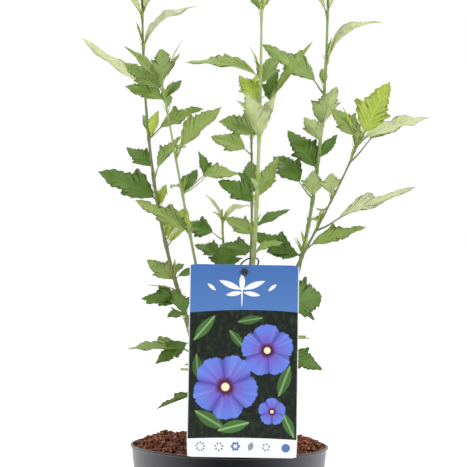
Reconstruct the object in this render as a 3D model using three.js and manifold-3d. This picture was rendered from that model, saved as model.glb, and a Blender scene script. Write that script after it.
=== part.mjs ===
// Hibiscus shrub in its nursery pot, millimetres, +Z up.
// Origin: centre of the pot's flat underside. +X is to the right of the label, -Y is the label's side.
// Seven woody canes rise from a short rootstock. Each cane ends where its leafy shoot begins.
import * as THREE from 'three';
import { mergeVertices } from 'three/addons/utils/BufferGeometryUtils.js';
import Module from 'manifold-3d';

const wasm = await Module();
wasm.setup();

// driving dimensions
const gap = 0.3; // clearance between neighbours
const rimRadius = 95;
const potHeight = 155;
const potBaseRadius = 78;
const potWall = 1.3;
const lipDepth = 2.2;
const lipReach = 1.2;
const drainRadius = 6;
const drainCount = 8;
const soilEdge = 150;
const soilCrown = 157;
const stockX = 7;
const stockY = 4;
const stockTop = 186;
const stockFlare = 15;
const stockWaist = 9.5;
const stockHead = 12;
const cardWidth = 101;
const cardHeight = 177;
const cardThick = 0.8;
const cardLean = 8.2;
const cardX = 11.5;
const cardHole = 2.3;
const cardHoleDrop = 7;
const tiePin = 1.7;
const tieKnob = 3.6;
const tieStrap = 0.9;
const pinLength = 6;
const knobDepth = 1.8;
const tieHalf = 8;
const tieRise = 12;
const tieSlack = 7;
const leafThick = 0.8;
const stalkRadius = 0.8;
const finest = 0.05; // shortest edge kept where a leaf joins its stem

const wood = { color: 0x7d8260, roughness: 0.8 };
const foliage = { color: 0x5d7f3a, roughness: 0.55 };

const radians = THREE.MathUtils.degToRad;
const mix = THREE.MathUtils.lerp;
// seeded number from 0 to 1
const seeded = (n) => {
  const value = Math.sin(n * 12.9898) * 43758.5453;
  return value - Math.floor(value);
};

function solidOf(geometry) {
  geometry.deleteAttribute('normal');
  geometry.deleteAttribute('uv');
  const merged = mergeVertices(geometry, 1e-4);
  return new wasm.Manifold(new wasm.Mesh({
    numProp: 3,
    vertProperties: new Float32Array(merged.attributes.position.array),
    triVerts: new Uint32Array(merged.index.array),
  }));
}

function geometryOf(solid) {
  const mesh = solid.getMesh();
  const geometry = new THREE.BufferGeometry();
  geometry.setAttribute('position', new THREE.BufferAttribute(mesh.vertProperties, 3));
  geometry.setIndex(new THREE.BufferAttribute(mesh.triVerts, 1));
  geometry.computeVertexNormals();
  return geometry;
}

const shrub = new THREE.Group();

function addNode(name, geometry, look) {
  const mesh = new THREE.Mesh(geometry, new THREE.MeshStandardMaterial(look));
  mesh.name = name;
  shrub.add(mesh);
}

// A cane is given by four points. x and y are cubics in the height through them.
function caneAt(cane, height) {
  const place = new THREE.Vector3();
  cane.points.forEach(([x, y, z], i) => {
    let share = 1;
    cane.points.forEach((other, j) => {
      if (j !== i) share *= (height - other[2]) / (z - other[2]);
    });
    place.x += share * x;
    place.y += share * y;
  });
  return place.setZ(height);
}

// Thickness falls evenly from the cane's foot to its tip.
function radiusAt(cane, height) {
  const foot = cane.points[0][2];
  const tip = cane.points[3][2];
  return mix(cane.thick[0], cane.thick[1], (height - foot) / (tip - foot));
}

// A tapering limb: a cylinder whose level rings follow the cane.
function limb(cane, from, to, sides, steps) {
  const geometry = new THREE.CylinderGeometry(1, 1, 1, sides, steps);
  const position = geometry.attributes.position;
  for (let i = 0; i < position.count; i += 1) {
    const height = mix(from, to, position.getY(i) + 0.5);
    const centre = caneAt(cane, height);
    const radius = radiusAt(cane, height);
    position.setXYZ(i, centre.x + position.getZ(i) * radius, centre.y + position.getX(i) * radius, height);
  }
  return geometry;
}

// Half of a blade's outline in blade lengths: foot of the row on the midrib, then along and aside.
const bladeRows = [
  [0.00, 0.00, 0.014],
  [0.05, 0.18, 0.180],
  [0.12, 0.47, 0.330],
  [0.28, 0.50, 0.200],
  [0.55, 0.70, 0.155],
  [1.00, 1.00, 0.000],
];
// A small or narrow blade is plain, without lobes, unless its row says otherwise.
const budRows = [
  [0.00, 0.00, 0.020],
  [0.35, 0.40, 0.200],
  [1.00, 1.00, 0.000],
];

// Point of the bent blade: folded about the midrib, then drooping along an arc.
function bendBlade(leaf, along, aside, rise) {
  const fold = radians(leaf.fold);
  const droop = radians(Math.abs(leaf.droop) < 1 ? 1 : leaf.droop) / leaf.length;
  const side = aside * Math.cos(fold);
  const top = Math.abs(aside) * Math.sin(fold) + rise;
  return new THREE.Vector3(
    Math.sin(droop * along) / droop + top * Math.sin(droop * along),
    side,
    (Math.cos(droop * along) - 1) / droop + top * Math.cos(droop * along),
  );
}

function heading(turn, lift) {
  const [a, l] = [radians(turn), radians(lift)];
  return new THREE.Vector3(Math.cos(l) * Math.cos(a), Math.cos(l) * Math.sin(a), Math.sin(l));
}

// Frame of a blade: x along the midrib, y to its left side, z out of its upper face.
function bladeFrame(cane, leaf) {
  const along = heading(leaf.turn, leaf.lift);
  const level = new THREE.Vector3(0, 0, 1).cross(along).normalize();
  const upper = along.clone().cross(level);
  const roll = radians(leaf.roll);
  const side = level.clone().multiplyScalar(Math.cos(roll)).addScaledVector(upper, Math.sin(roll));
  const face = along.clone().cross(side);
  const foot = caneAt(cane, leaf.height);
  const base = foot.clone().addScaledVector(heading(leaf.turn, leaf.stalkLift), leaf.stalk);
  return { foot, matrix: new THREE.Matrix4().makeBasis(along, side, face).setPosition(base) };
}

// A leaf's rings have four corners: top, left edge, bottom and right edge, each as [across, rise].
const corners = [[0, 1], [1, 0], [0, -1], [-1, 0]];

// A leaf is a four-sided spike: its first ring sits on the stem's middle line, the next ends the stalk, and
// the rest are flattened to the blade's outline. Both faces of a blade are cut along the same diagonals, so
// they never cross. spare swells it for a test of its clearance.
function leafSolid(cane, leaf, spare) {
  const rows = leaf.plain ? budRows : bladeRows;
  const { foot, matrix } = bladeFrame(cane, leaf);
  const base = new THREE.Vector3().setFromMatrixPosition(matrix);
  const points = [];
  for (let ring = -1; ring < rows.length; ring += 1) {
    const [rib, along, aside] = rows[Math.max(ring, 0)];
    const stalk = ring < 0 ? stalkRadius / 2 : stalkRadius;
    const half = ring < 1 ? stalk : leafThick / 2;
    const reach = ring < 1 ? stalk : aside * leaf.width * leaf.length;
    const shown = ring === rows.length - 1 ? [[0, 0]] : corners;
    shown.forEach(([across, rise]) => {
      const place = bendBlade(
        leaf,
        mix(rib, along, Math.abs(across)) * leaf.length,
        across * (reach + spare),
        rise * (half + spare),
      );
      place.applyMatrix4(matrix);
      if (ring < 0) place.add(foot).sub(base);
      points.push(...place);
    });
  }
  const index = [0, 1, 2, 0, 2, 3];
  const tip = points.length / 3 - 1;
  for (let low = 0; low < tip; low += 4) {
    corners.forEach((corner, k) => {
      const [a, b] = [low + k, low + (k + 1) % 4];
      const [c, d] = [b + 4, a + 4];
      if (c > tip || d > tip) index.push(a, tip, b);
      else if (k % 2) index.push(a, d, c, a, c, b);
      else index.push(a, d, b, d, c, b);
    });
  }
  return new wasm.Manifold(new wasm.Mesh({
    numProp: 3,
    vertProperties: new Float32Array(points),
    triVerts: new Uint32Array(index),
  }));
}

// Defaults of a leaf come from its height and heading by the seeded rule.
function leaf(height, turn, lift, length, more = {}) {
  const seed = height + turn;
  return {
    height,
    turn,
    lift,
    length,
    droop: 8 + 20 * seeded(seed),
    roll: 30 * (seeded(seed + 1) - 0.5),
    fold: 16 + 14 * seeded(seed + 2),
    stalk: 2 + 0.16 * length,
    stalkLift: Math.min(lift + 20, 80),
    width: 1,
    plain: length < 32 || more.width < 0.5,
    ...more,
  };
}

// Every cane: four points, foot and tip radius, the height where its leafy shoot begins, and its leaves.
// leaf(height on the cane, heading, lift, length): heading 0 is +X, 90 is the back, -90 the label's side.
const canes = {
  left: {
    points: [[-1.5, 5, 186.3], [-60, 6, 330], [-84, 20, 460], [-93, 34, 648]],
    thick: [2.2, 0.7],
    split: 285,
    leaves: [
      leaf(289, 175, 5, 36, { roll: -55, droop: 5, stalk: 5 }),
      leaf(292, -20, -5, 26, { roll: 50, stalk: 5, width: 1.4 }),
      leaf(297, 165, -10, 34, { roll: -55, droop: 20, stalk: 4, width: 1.1 }),
      leaf(301, 165, 10, 28, { roll: 0, droop: 10, stalk: 6, width: 0.45 }),
      leaf(308, 160, 35, 34, { roll: -55, droop: 10, stalk: 6, width: 1.1 }),
      leaf(313, -15, 20, 26, { roll: 45, stalk: 5, width: 1.2 }),
      leaf(314, 75, 30, 30, { stalk: 5, width: 0.8 }),
      leaf(344, 60, 60, 38, { roll: 10, droop: 10, stalk: 10, stalkLift: 30, width: 1.1 }),
      leaf(349, 60, 45, 26, { roll: 20, droop: 20, stalk: 24, stalkLift: 45, plain: false }),
      leaf(380, 60, 65, 24, { roll: 0, stalk: 4, width: 1.4 }),
      leaf(388, 175, 25, 60, { roll: -50, droop: 5, stalk: 5, fold: 14 }),
      leaf(392, 95, 10, 32, { droop: 20, stalk: 4, width: 0.7 }),
      leaf(407, -15, 55, 38, { roll: 45, droop: 5, stalk: 14, stalkLift: 75, width: 1.1 }),
      leaf(412, 155, 35, 34, { roll: -55, droop: 10, stalk: 10, stalkLift: 75 }),
      leaf(447, 110, 55, 26),
      leaf(448, -10, 25, 46, { roll: 50, droop: 5, stalk: 16, width: 0.8 }),
      leaf(449, -60, 75, 26, { roll: 0, stalk: 8, stalkLift: 20, width: 1.1 }),
      leaf(492, 175, 40, 76, { roll: -30, droop: 5, stalk: 9, width: 0.6, plain: true }),
      leaf(496, 80, 45, 34),
      leaf(532, -15, 65, 66, { roll: 35, droop: 65, stalk: 10, width: 1, plain: true }),
      leaf(536, 120, 65, 28, { width: 0.35, stalk: 4 }),
      leaf(563, -164, 55, 48, { roll: -10, droop: 10, stalk: 8 }),
      leaf(568, -32, 54, 44, { roll: 15, droop: 10, stalk: 8 }),
      leaf(580, 85, 52, 42),
      leaf(602, -140, 56, 38),
      leaf(612, 15, 58, 36),
      leaf(628, -75, 66, 30),
      leaf(636, 130, 68, 28),
    ],
  },
  left_inner: {
    points: [[0.5, -3, 186.3], [-35, -15, 330], [-57, -32, 440], [-72, -42, 515]],
    thick: [1.9, 0.7],
    split: 334,
    leaves: [
      leaf(354, -125, 75, 20, { stalk: 4, width: 0.6 }),
      leaf(356, 170, 30, 56, { roll: -40, droop: 5, stalk: 8, width: 0.8 }),
      leaf(360, 85, 15, 30, { width: 0.7 }),
      leaf(364, 150, -25, 24, { roll: -40, stalk: 5, width: 1.4 }),
      leaf(392, 45, 60, 30, { roll: 20, stalk: 4, width: 1.5, plain: true }),
      leaf(395, 20, 105, 26, { roll: -60, droop: 5, stalk: 28, stalkLift: 35, width: 1.2, plain: false }),
      leaf(396, 15, 5, 36, { roll: 50, droop: 5, stalk: 26, stalkLift: 40, width: 0.95 }),
      leaf(398, 110, 10, 30, { width: 0.7 }),
      leaf(428, -20, 45, 54, { roll: 50, droop: 5, stalk: 13, width: 1.15 }),
      leaf(432, 75, 20, 28),
      leaf(470, 100, 45, 30),
      leaf(481, 175, 20, 38, { roll: -50, droop: 5, stalk: 4, width: 1.1 }),
      leaf(482, 30, 50, 24, { roll: 40, stalk: 4, width: 1.3 }),
      leaf(489, 165, 35, 44, { roll: -45, droop: 5, stalk: 6, width: 1.1 }),
      leaf(494, 165, 45, 50, { roll: -30, droop: 5, stalk: 6, width: 0.7, plain: true }),
      leaf(497, -90, 70, 38, { roll: 0, droop: 45, stalk: 4, width: 0.95 }),
      leaf(503, 15, 65, 24, { roll: 40, stalk: 8, stalkLift: 30, width: 0.6 }),
      leaf(506, -15, 70, 32, { stalk: 8, stalkLift: 30, width: 0.2 }),
      leaf(511, 90, 70, 16, { stalk: 3 }),
    ],
  },
  centre: {
    points: [[9, -4, 186.3], [20, -22, 331], [24, -27, 480], [23, -34, 658]],
    thick: [2.6, 0.7],
    split: 334,
    leaves: [
      leaf(338, -20, 30, 28, { roll: 40, stalk: 4, width: 1.3 }),
      leaf(341, 165, 10, 32, { roll: -50, droop: 10, stalk: 4 }),
      leaf(354, 160, 30, 32, { roll: -55, droop: 10, stalk: 5, width: 1.05 }),
      leaf(362, -10, 35, 34, { roll: 45, droop: 20, stalk: 5, plain: true }),
      leaf(384, 165, 30, 40, { roll: -55, droop: 5, stalk: 6, width: 1.15 }),
      leaf(388, 30, 60, 44, { roll: 45, droop: 5, stalk: 6, width: 0.8 }),
      leaf(398, -110, 40, 18, { stalk: 4 }),
      leaf(445, -115, 65, 52, { roll: 0, droop: 30, stalk: 5, width: 0.95 }),
      leaf(447, -30, 70, 44, { roll: -20, droop: 10, stalk: 4, width: 0.9, plain: true }),
      leaf(449, 15, 55, 72, { roll: 50, droop: 5, stalk: 37, width: 0.35 }),
      leaf(450, 165, 20, 40, { roll: -55, droop: 10, stalk: 4, width: 1.15 }),
      leaf(454, 45, 80, 32, { roll: 0, droop: 20, stalk: 34, stalkLift: 65, width: 1.15 }),
      leaf(478, 150, 50, 32, { roll: -50, droop: 10, stalk: 8, width: 1.2 }),
      leaf(496, 35, 60, 36, { roll: 30, droop: 10, stalk: 5, width: 1.1 }),
      leaf(505, -170, 20, 66, { roll: -35, droop: 30, stalk: 8, width: 0.7 }),
      leaf(507, 170, 75, 28, { width: 0.35, stalk: 3 }),
      leaf(561, 100, 52, 44),
      leaf(563, -20, 60, 42, { roll: 15, stalk: 13 }),
      leaf(568, -162, 60, 42, { roll: -15, stalk: 8 }),
      leaf(590, 60, 56, 42),
      leaf(598, -80, 60, 40),
      leaf(614, 160, 58, 40),
      leaf(624, 10, 60, 38),
      leaf(640, -120, 66, 30),
      leaf(648, 60, 70, 28),
    ],
  },
  centre_back: {
    points: [[8, 13, 186.3], [18, 14, 337], [18, 17, 400], [15, 24, 486]],
    thick: [2.0, 0.8],
    split: 341,
    leaves: [
      leaf(360, 60, 20, 24),
      leaf(387, 95, 60, 40, { roll: 0, droop: 15, stalk: 10, width: 1.2 }),
      leaf(400, 30, 30, 24),
      leaf(434, 170, 20, 36, { roll: -55, droop: 5, stalk: 9, width: 1.2 }),
      leaf(446, 80, 30, 28),
      leaf(466, 150, 55, 22),
      leaf(474, 20, 55, 20),
      leaf(481, -60, 70, 26, { stalk: 8, width: 1.1 }),
    ],
  },
  right: {
    points: [[15.5, 9, 186.3], [66, 15, 331], [85, 26, 464], [90, 42, 652]],
    thick: [2.4, 0.8],
    split: 334,
    leaves: [
      leaf(336, 175, 5, 30, { roll: -60, droop: 5, stalk: 4, width: 1.1, plain: false }),
      leaf(338, 165, 25, 46, { roll: -55, droop: 0, stalk: 9, stalkLift: 10, width: 0.95 }),
      leaf(346, -120, 70, 14, { width: 0.6, stalk: 3 }),
      leaf(366, 75, 15, 32, { width: 0.7 }),
      leaf(388, -90, 50, 36, { roll: 0, droop: 15, stalk: 8, width: 1.05 }),
      leaf(392, 160, 50, 42, { roll: -55, droop: 40, stalk: 22, stalkLift: 50, width: 1.15 }),
      leaf(418, 155, 50, 46, { roll: -50, droop: 0, stalk: 6, width: 1.1 }),
      leaf(430, 24, 50, 30, { roll: 50, droop: 0, stalk: 3 }),
      leaf(446, -130, 45, 34, { roll: 25, droop: 15, stalk: 4, width: 1.15 }),
      leaf(462, -65, 60, 46, { roll: 0, droop: 20, stalk: 3, width: 1.15 }),
      leaf(468, 80, 30, 30),
      leaf(494, 170, 35, 64, { roll: -50, droop: 5, stalk: 17, fold: 14, width: 0.75 }),
      leaf(498, 100, 60, 22),
      leaf(518, -25, 75, 26, { width: 0.4, stalk: 12 }),
      leaf(522, -10, 55, 60, { roll: 30, droop: 60, stalk: 17, width: 0.95, plain: true }),
      leaf(524, 60, 70, 24, { width: 0.35 }),
      leaf(567, -165, 56, 44, { roll: -15, droop: 20, stalk: 12 }),
      leaf(572, -20, 62, 42, { stalk: 8 }),
      leaf(586, 100, 56, 42),
      leaf(602, -110, 58, 38),
      leaf(614, 170, 58, 38),
      leaf(626, 20, 60, 34),
      leaf(638, -60, 66, 30),
      leaf(644, 110, 70, 28),
    ],
  },
  right_outer: {
    points: [[16, -3, 186.3], [62, -10, 328], [96, -24, 397], [119, -38, 452]],
    thick: [2.1, 0.8],
    split: 331,
    leaves: [
      leaf(344, -10, 20, 54, { roll: 50, droop: 5, stalk: 8, width: 0.65 }),
      leaf(362, -10, 25, 78, { roll: 30, droop: 5, stalk: 26, stalkLift: 30, width: 0.6 }),
      leaf(366, 60, 55, 14, { stalk: 4 }),
      leaf(376, 90, 15, 30),
      leaf(390, -95, 45, 32, { droop: 20, stalk: 9, width: 1.1 }),
      leaf(398, 110, 20, 28),
      leaf(427, 10, 30, 42, { roll: 50, droop: 15, stalk: 30, stalkLift: 50, width: 0.95, plain: true }),
      leaf(438, 75, 40, 30),
      leaf(440, 180, 70, 28, { roll: 40, width: 0.45, stalk: 14 }),
      leaf(442, -20, 65, 52, { roll: 75, droop: 5, stalk: 16, stalkLift: 60, fold: 14, width: 1.2 }),
      leaf(443, 15, 25, 72, { roll: 40, droop: 20, stalk: 10, width: 0.65, plain: true }),
      leaf(444, 170, 50, 34, { roll: -60, stalk: 9, width: 1.2 }),
      leaf(449, 130, 60, 24, { stalk: 4 }),
    ],
  },
  short: {
    points: [[2, 10, 186.3], [-5, 24, 280], [-8, 32, 330], [-11, 40, 382]],
    thick: [1.7, 0.8],
    split: 306,
    leaves: [
      leaf(318, -90, 60, 28, { roll: 180, droop: 0, stalk: 6, width: 1.8, fold: 10, plain: false }),
      leaf(321, 165, 30, 32, { roll: -50, droop: 30, stalk: 14, stalkLift: 75 }),
      leaf(326, 15, 25, 32, { roll: 50, droop: 30, stalk: 10, stalkLift: 65 }),
      leaf(336, 95, 10, 24),
      leaf(351, 175, 15, 32, { roll: -60, droop: 10, stalk: 13, width: 1.2 }),
      leaf(364, -15, 65, 36, { roll: 40, droop: 80, stalk: 4, width: 0.9, plain: true }),
      leaf(368, 120, 30, 18),
      leaf(370, -175, 60, 28, { roll: -40, stalk: 4, width: 0.55, plain: true }),
    ],
  },
};

// Low leafy shoots spring from the rootstock's side. Their first point is inside it, and it cuts them off.
const lowShoots = {
  low_left: {
    points: [[3, 3, 166], [-20, -7, 196], [-35, -16, 238], [-44, -22, 276]],
    thick: [1.5, 0.8],
    leaves: [
      leaf(204, -175, -20, 40, { roll: -10, droop: 5, stalk: 10, width: 0.8 }),
      leaf(222, 120, 5, 30),
      leaf(244, 178, 5, 54, { roll: -20, droop: 15, stalk: 10 }),
      leaf(254, -165, -30, 36, { roll: -40, droop: 10, stalk: 4, width: 1.1 }),
      leaf(270, -120, 10, 30, { roll: -20, stalk: 10, stalkLift: 80, width: 1.2, plain: false }),
      leaf(274, 120, 50, 34),
    ],
  },
  low_right: {
    points: [[10, 3, 166], [33, -5, 198], [45, -10, 242], [50, -14, 288]],
    thick: [1.5, 0.8],
    leaves: [
      leaf(214, 70, 10, 36),
      leaf(244, -10, -20, 38, { roll: 50, droop: 10, stalk: 8, width: 1.1 }),
      leaf(250, 40, 15, 34),
      leaf(276, 45, 5, 52, { roll: 80, droop: 5, stalk: 18, stalkLift: 70, width: 1.3 }),
      leaf(282, -150, 60, 26),
      leaf(286, -60, 60, 26),
    ],
  },
  low_back: {
    points: [[7, 7, 166], [5, 31, 198], [0, 46, 240], [-6, 56, 282]],
    thick: [1.5, 0.8],
    leaves: [
      leaf(206, 60, 5, 46),
      leaf(222, 150, 10, 48),
      leaf(240, 30, 20, 48),
      leaf(254, 120, 25, 44),
      leaf(268, -170, 30, 36),
      leaf(276, 70, 45, 38),
      leaf(280, 0, 50, 32),
    ],
  },
};

// pot: a tapering wall with a short lip, a flat floor and drain holes near its edge
function wallRadius(height) {
  return mix(potBaseRadius, rimRadius - lipReach, height / potHeight);
}

function potSolid() {
  const lipFoot = potHeight - lipDepth;
  const profile = [
    [0, 0],
    [potBaseRadius, 0],
    [wallRadius(lipFoot), lipFoot],
    [rimRadius, lipFoot],
    [rimRadius, potHeight],
    [wallRadius(potHeight) - potWall, potHeight],
    [potBaseRadius - potWall, potWall],
    [0, potWall],
  ].map(([r, z]) => new THREE.Vector2(r, z));
  let pot = solidOf(new THREE.LatheGeometry(profile, 40).rotateX(Math.PI / 2));
  for (let i = 0; i < drainCount; i += 1) {
    const turn = (i + 0.5) * (2 * Math.PI / drainCount);
    const drill = new THREE.CylinderGeometry(drainRadius, drainRadius, 4 * potWall, 12);
    drill.rotateX(Math.PI / 2);
    const reach = potBaseRadius - 2 * drainRadius;
    drill.translate(reach * Math.cos(turn), reach * Math.sin(turn), 0);
    pot = pot.subtract(solidOf(drill));
  }
  return pot;
}

function soilSolid() {
  const inner = (z) => wallRadius(z) - potWall - gap;
  const profile = [
    [0, potWall + gap],
    [potBaseRadius - potWall - gap, potWall + gap],
    [inner(soilEdge), soilEdge],
    [inner(soilEdge) - 12, mix(soilEdge, soilCrown, 0.6)],
    [45, soilCrown],
    [0, soilCrown],
  ].map(([r, z]) => new THREE.Vector2(r, z));
  return solidOf(new THREE.LatheGeometry(profile, 40).rotateX(Math.PI / 2));
}

// short woody stock with a flared foot, a waist and a wider head under the canes
function stockSolid(spare) {
  const foot = soilCrown + gap;
  const rise = stockTop - foot;
  const profile = [
    [0, 0],
    [stockFlare + spare, 0],
    [mix(stockFlare, stockWaist, 0.6) + spare, rise * 0.12],
    [stockWaist + spare, rise * 0.42],
    [mix(stockWaist, stockHead, 0.7) + spare, rise * 0.78],
    [stockHead + spare, rise],
    [0, rise],
  ].map(([r, z]) => new THREE.Vector2(r, z));
  const stock = new THREE.LatheGeometry(profile, 16).rotateX(Math.PI / 2);
  return solidOf(stock.translate(stockX, stockY, foot));
}

// label card: leans back from just outside the rim, with a hole near its top edge
const lean = radians(cardLean);
const cardFront = rimRadius + gap + cardThick / Math.cos(lean);
const cardBottom = new THREE.Vector3(cardX, -cardFront, potHeight);
const cardPlace = new THREE.Matrix4().makeRotationX(Math.PI / 2 - lean).setPosition(cardBottom);
const holeHeight = cardHeight - cardHoleDrop;

function cardSolid() {
  const half = cardWidth / 2;
  const outline = new THREE.Shape([
    new THREE.Vector2(-half, 0),
    new THREE.Vector2(half, 0),
    new THREE.Vector2(half, cardHeight),
    new THREE.Vector2(-half, cardHeight),
  ]);
  outline.holes.push(new THREE.Path().absarc(0, holeHeight, cardHole, 0, 2 * Math.PI, true));
  const plate = { depth: cardThick, bevelEnabled: false, curveSegments: 8 };
  const card = new THREE.ExtrudeGeometry(outline, plate);
  card.translate(0, 0, -cardThick);
  return solidOf(card.applyMatrix4(cardPlace));
}

// tie: an oval loop behind the card round the centre cane, a pin through the hole and a knob in front
function tieSolid() {
  const hole = new THREE.Vector3(0, holeHeight, 0).applyMatrix4(cardPlace);
  const around = caneAt(canes.centre, hole.z + tieRise);
  const back = around.setY(around.y + tieSlack);
  const front = hole.setY(hole.y + cardThick + 2 * tieStrap);
  const centre = front.clone().lerp(back, 0.5);
  const reach = back.clone().sub(centre);
  const away = reach.clone().normalize();
  const up = new THREE.Vector3(-1, 0, 0).cross(away);
  const loop = new THREE.TorusGeometry(1, tieStrap, 5, 22);
  const position = loop.attributes.position;
  for (let i = 0; i < position.count; i += 1) {
    const turn = Math.atan2(position.getY(i), position.getX(i));
    const off = Math.hypot(position.getX(i), position.getY(i)) - 1;
    const place = centre.clone().addScaledVector(away, Math.cos(turn) * (reach.length() + off));
    place.x += Math.sin(turn) * (tieHalf + off);
    place.addScaledVector(up, position.getZ(i));
    position.setXYZ(i, place.x, place.y, place.z);
  }
  const pin = new THREE.CylinderGeometry(tiePin, tiePin, pinLength, 10).rotateX(Math.PI / 2);
  pin.translate(0, holeHeight, gap + knobDepth / 2 - pinLength / 2);
  const knob = new THREE.CylinderGeometry(tieKnob, tieKnob * 0.8, knobDepth, 12).rotateX(Math.PI / 2);
  knob.translate(0, holeHeight, gap + knobDepth / 2);
  return solidOf(loop)
    .add(solidOf(pin.applyMatrix4(cardPlace)))
    .add(solidOf(knob.applyMatrix4(cardPlace)));
}

// Solids placed so far, each with the node that it belongs to.
const placed = [];

function reaches(a, b) {
  return a.min.every((low, i) => low < b.max[i]) && b.min.every((low, i) => low < a.max[i]);
}

function touches(node, solid) {
  const box = solid.boundingBox();
  return placed.some((other) => other.node !== node
    && reaches(box, other.box)
    && !solid.intersect(other.solid).isEmpty());
}

function keep(node, solid) {
  placed.push({ node, solid, box: solid.boundingBox() });
  return solid;
}

function addSolid(name, solid, look) {
  addNode(name, geometryOf(keep(name, solid)), look);
}

addSolid('pot', potSolid(), { color: 0x55575b, roughness: 0.5 });
addSolid('potting_soil', soilSolid(), { color: 0x6b4430, roughness: 1 });
addSolid('rootstock', stockSolid(0), wood);
addSolid('label_card', cardSolid(), { color: 0x4f7cc4, roughness: 0.4 });
addSolid('label_tie', tieSolid(), { color: 0x303234, roughness: 0.5 });

// A shoot is its stem with every leaf that keeps clear of the other solids.
function addShoot(name, shoot) {
  const stem = placed.find((item) => item.node === name).solid;
  const pieces = [stem];
  shoot.leaves.forEach((item) => {
    if (!touches(name, leafSolid(shoot, item, gap))) {
      pieces.push(keep(name, leafSolid(shoot, item, 0)));
    }
  });
  addNode(name, geometryOf(wasm.Manifold.union(pieces).simplify(finest)), foliage);
}

const tipOf = (cane) => cane.points[3][2];
Object.entries(canes).forEach(([name, cane]) => {
  const foot = cane.points[0][2];
  addSolid(`cane_${name}`, solidOf(limb(cane, foot, cane.split, 8, 6)), wood);
  keep(`shoot_${name}`, solidOf(limb(cane, cane.split + gap, tipOf(cane), 6, 9)));
});
Object.entries(lowShoots).forEach(([name, shoot]) => {
  const stem = solidOf(limb(shoot, shoot.points[0][2], tipOf(shoot), 6, 8));
  keep(`shoot_${name}`, stem.subtract(stockSolid(gap)));
});
Object.entries({ ...canes, ...lowShoots }).forEach(([name, cane]) => {
  addShoot(`shoot_${name}`, cane);
});

export default shrub;
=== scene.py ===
import bpy
import numpy as np
from mathutils import Matrix, Vector


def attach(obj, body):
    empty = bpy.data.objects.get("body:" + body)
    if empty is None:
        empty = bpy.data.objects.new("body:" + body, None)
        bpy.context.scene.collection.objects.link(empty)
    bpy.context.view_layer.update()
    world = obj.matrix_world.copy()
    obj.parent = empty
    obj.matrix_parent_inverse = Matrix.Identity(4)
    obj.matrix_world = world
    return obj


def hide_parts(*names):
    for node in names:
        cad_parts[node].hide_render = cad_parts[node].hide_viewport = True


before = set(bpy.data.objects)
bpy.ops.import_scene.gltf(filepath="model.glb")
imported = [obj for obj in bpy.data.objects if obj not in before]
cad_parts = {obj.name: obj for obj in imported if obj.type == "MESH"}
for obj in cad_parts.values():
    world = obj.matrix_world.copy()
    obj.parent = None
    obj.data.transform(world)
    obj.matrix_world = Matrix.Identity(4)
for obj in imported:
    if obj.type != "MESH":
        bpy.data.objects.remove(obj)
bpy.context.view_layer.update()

mm = 0.001
turnFull = 2 * np.pi


# Seeded number from 0 to 1: the broken part of a large sine
def seeded(n):
    value = np.sin(np.asarray(n, float) * 12.9898) * 43758.5453
    return value - np.floor(value)


# 0 below low, 1 above high, and between them a cubic that starts and ends level
def ease(x, low, high):
    t = np.clip((x - low) / (high - low), 0, 1)
    return t * t * (3 - 2 * t)


# a vector cut or stretched to the length 1
def unit(v):
    return v / np.linalg.norm(v, axis=-1, keepdims=True)


# angles of so many points evenly about a full turn
def circle(count):
    return np.arange(count) * turnFull / count


# points from their coordinates, each spread over the rows and columns of the others
def xyz(x, y, z):
    return np.stack(np.broadcast_arrays(x, y, z), -1)


# level rings: a radius and an angle about a middle at x, y, at a height
def rings(radius, angle, height, x=0.0, y=0.0):
    return xyz(x + radius * np.cos(angle), y + radius * np.sin(angle), height)


# smooth random field from -1 to 1: numbers hashed at whole steps of size, eased between them
def field(points, size, seed=0.0):
    p = points / size
    cell = np.floor(p)
    t = ease(p - cell, 0, 1)
    total = 0
    for corner in np.ndindex(2, 2, 2):
        share = np.where(np.array(corner) == 1, t, 1 - t).prod(-1)
        total = total + share * seeded((cell + corner) @ np.array([1.0, 57.3, 113.9]) + seed)
    return 2 * total - 1


# sum of random fields, given as rows of height, width and seed
def lumps(points, rows):
    return sum(high * field(points, wide, seed) for high, wide, seed in rows)


# A shape is points, quads, triangles, uv for each point, and a material number for each face.
def shapeOf(points, quads, triangles, uv=None, looks=None):
    uv = np.zeros((len(points), 2)) if uv is None else uv
    looks = np.zeros(len(quads) + len(triangles), int) if looks is None else looks
    return dict(points=points, quads=quads, triangles=triangles, uv=uv, looks=looks)


# several shapes as one: each one's faces count on from the points before it
def joined(shapes):
    offsets = np.cumsum([0] + [len(s["points"]) for s in shapes[:-1]])
    points, uv = (np.concatenate([s[key] for s in shapes]) for key in ("points", "uv"))
    quads, triangles = (
        np.concatenate([s[key] + o for s, o in zip(shapes, offsets)]) for key in ("quads", "triangles"))
    quadLooks = [s["looks"][:len(s["quads"])] for s in shapes]
    triangleLooks = [s["looks"][len(s["quads"]):] for s in shapes]
    return shapeOf(points, quads, triangles, uv, np.concatenate(quadLooks + triangleLooks))


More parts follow.
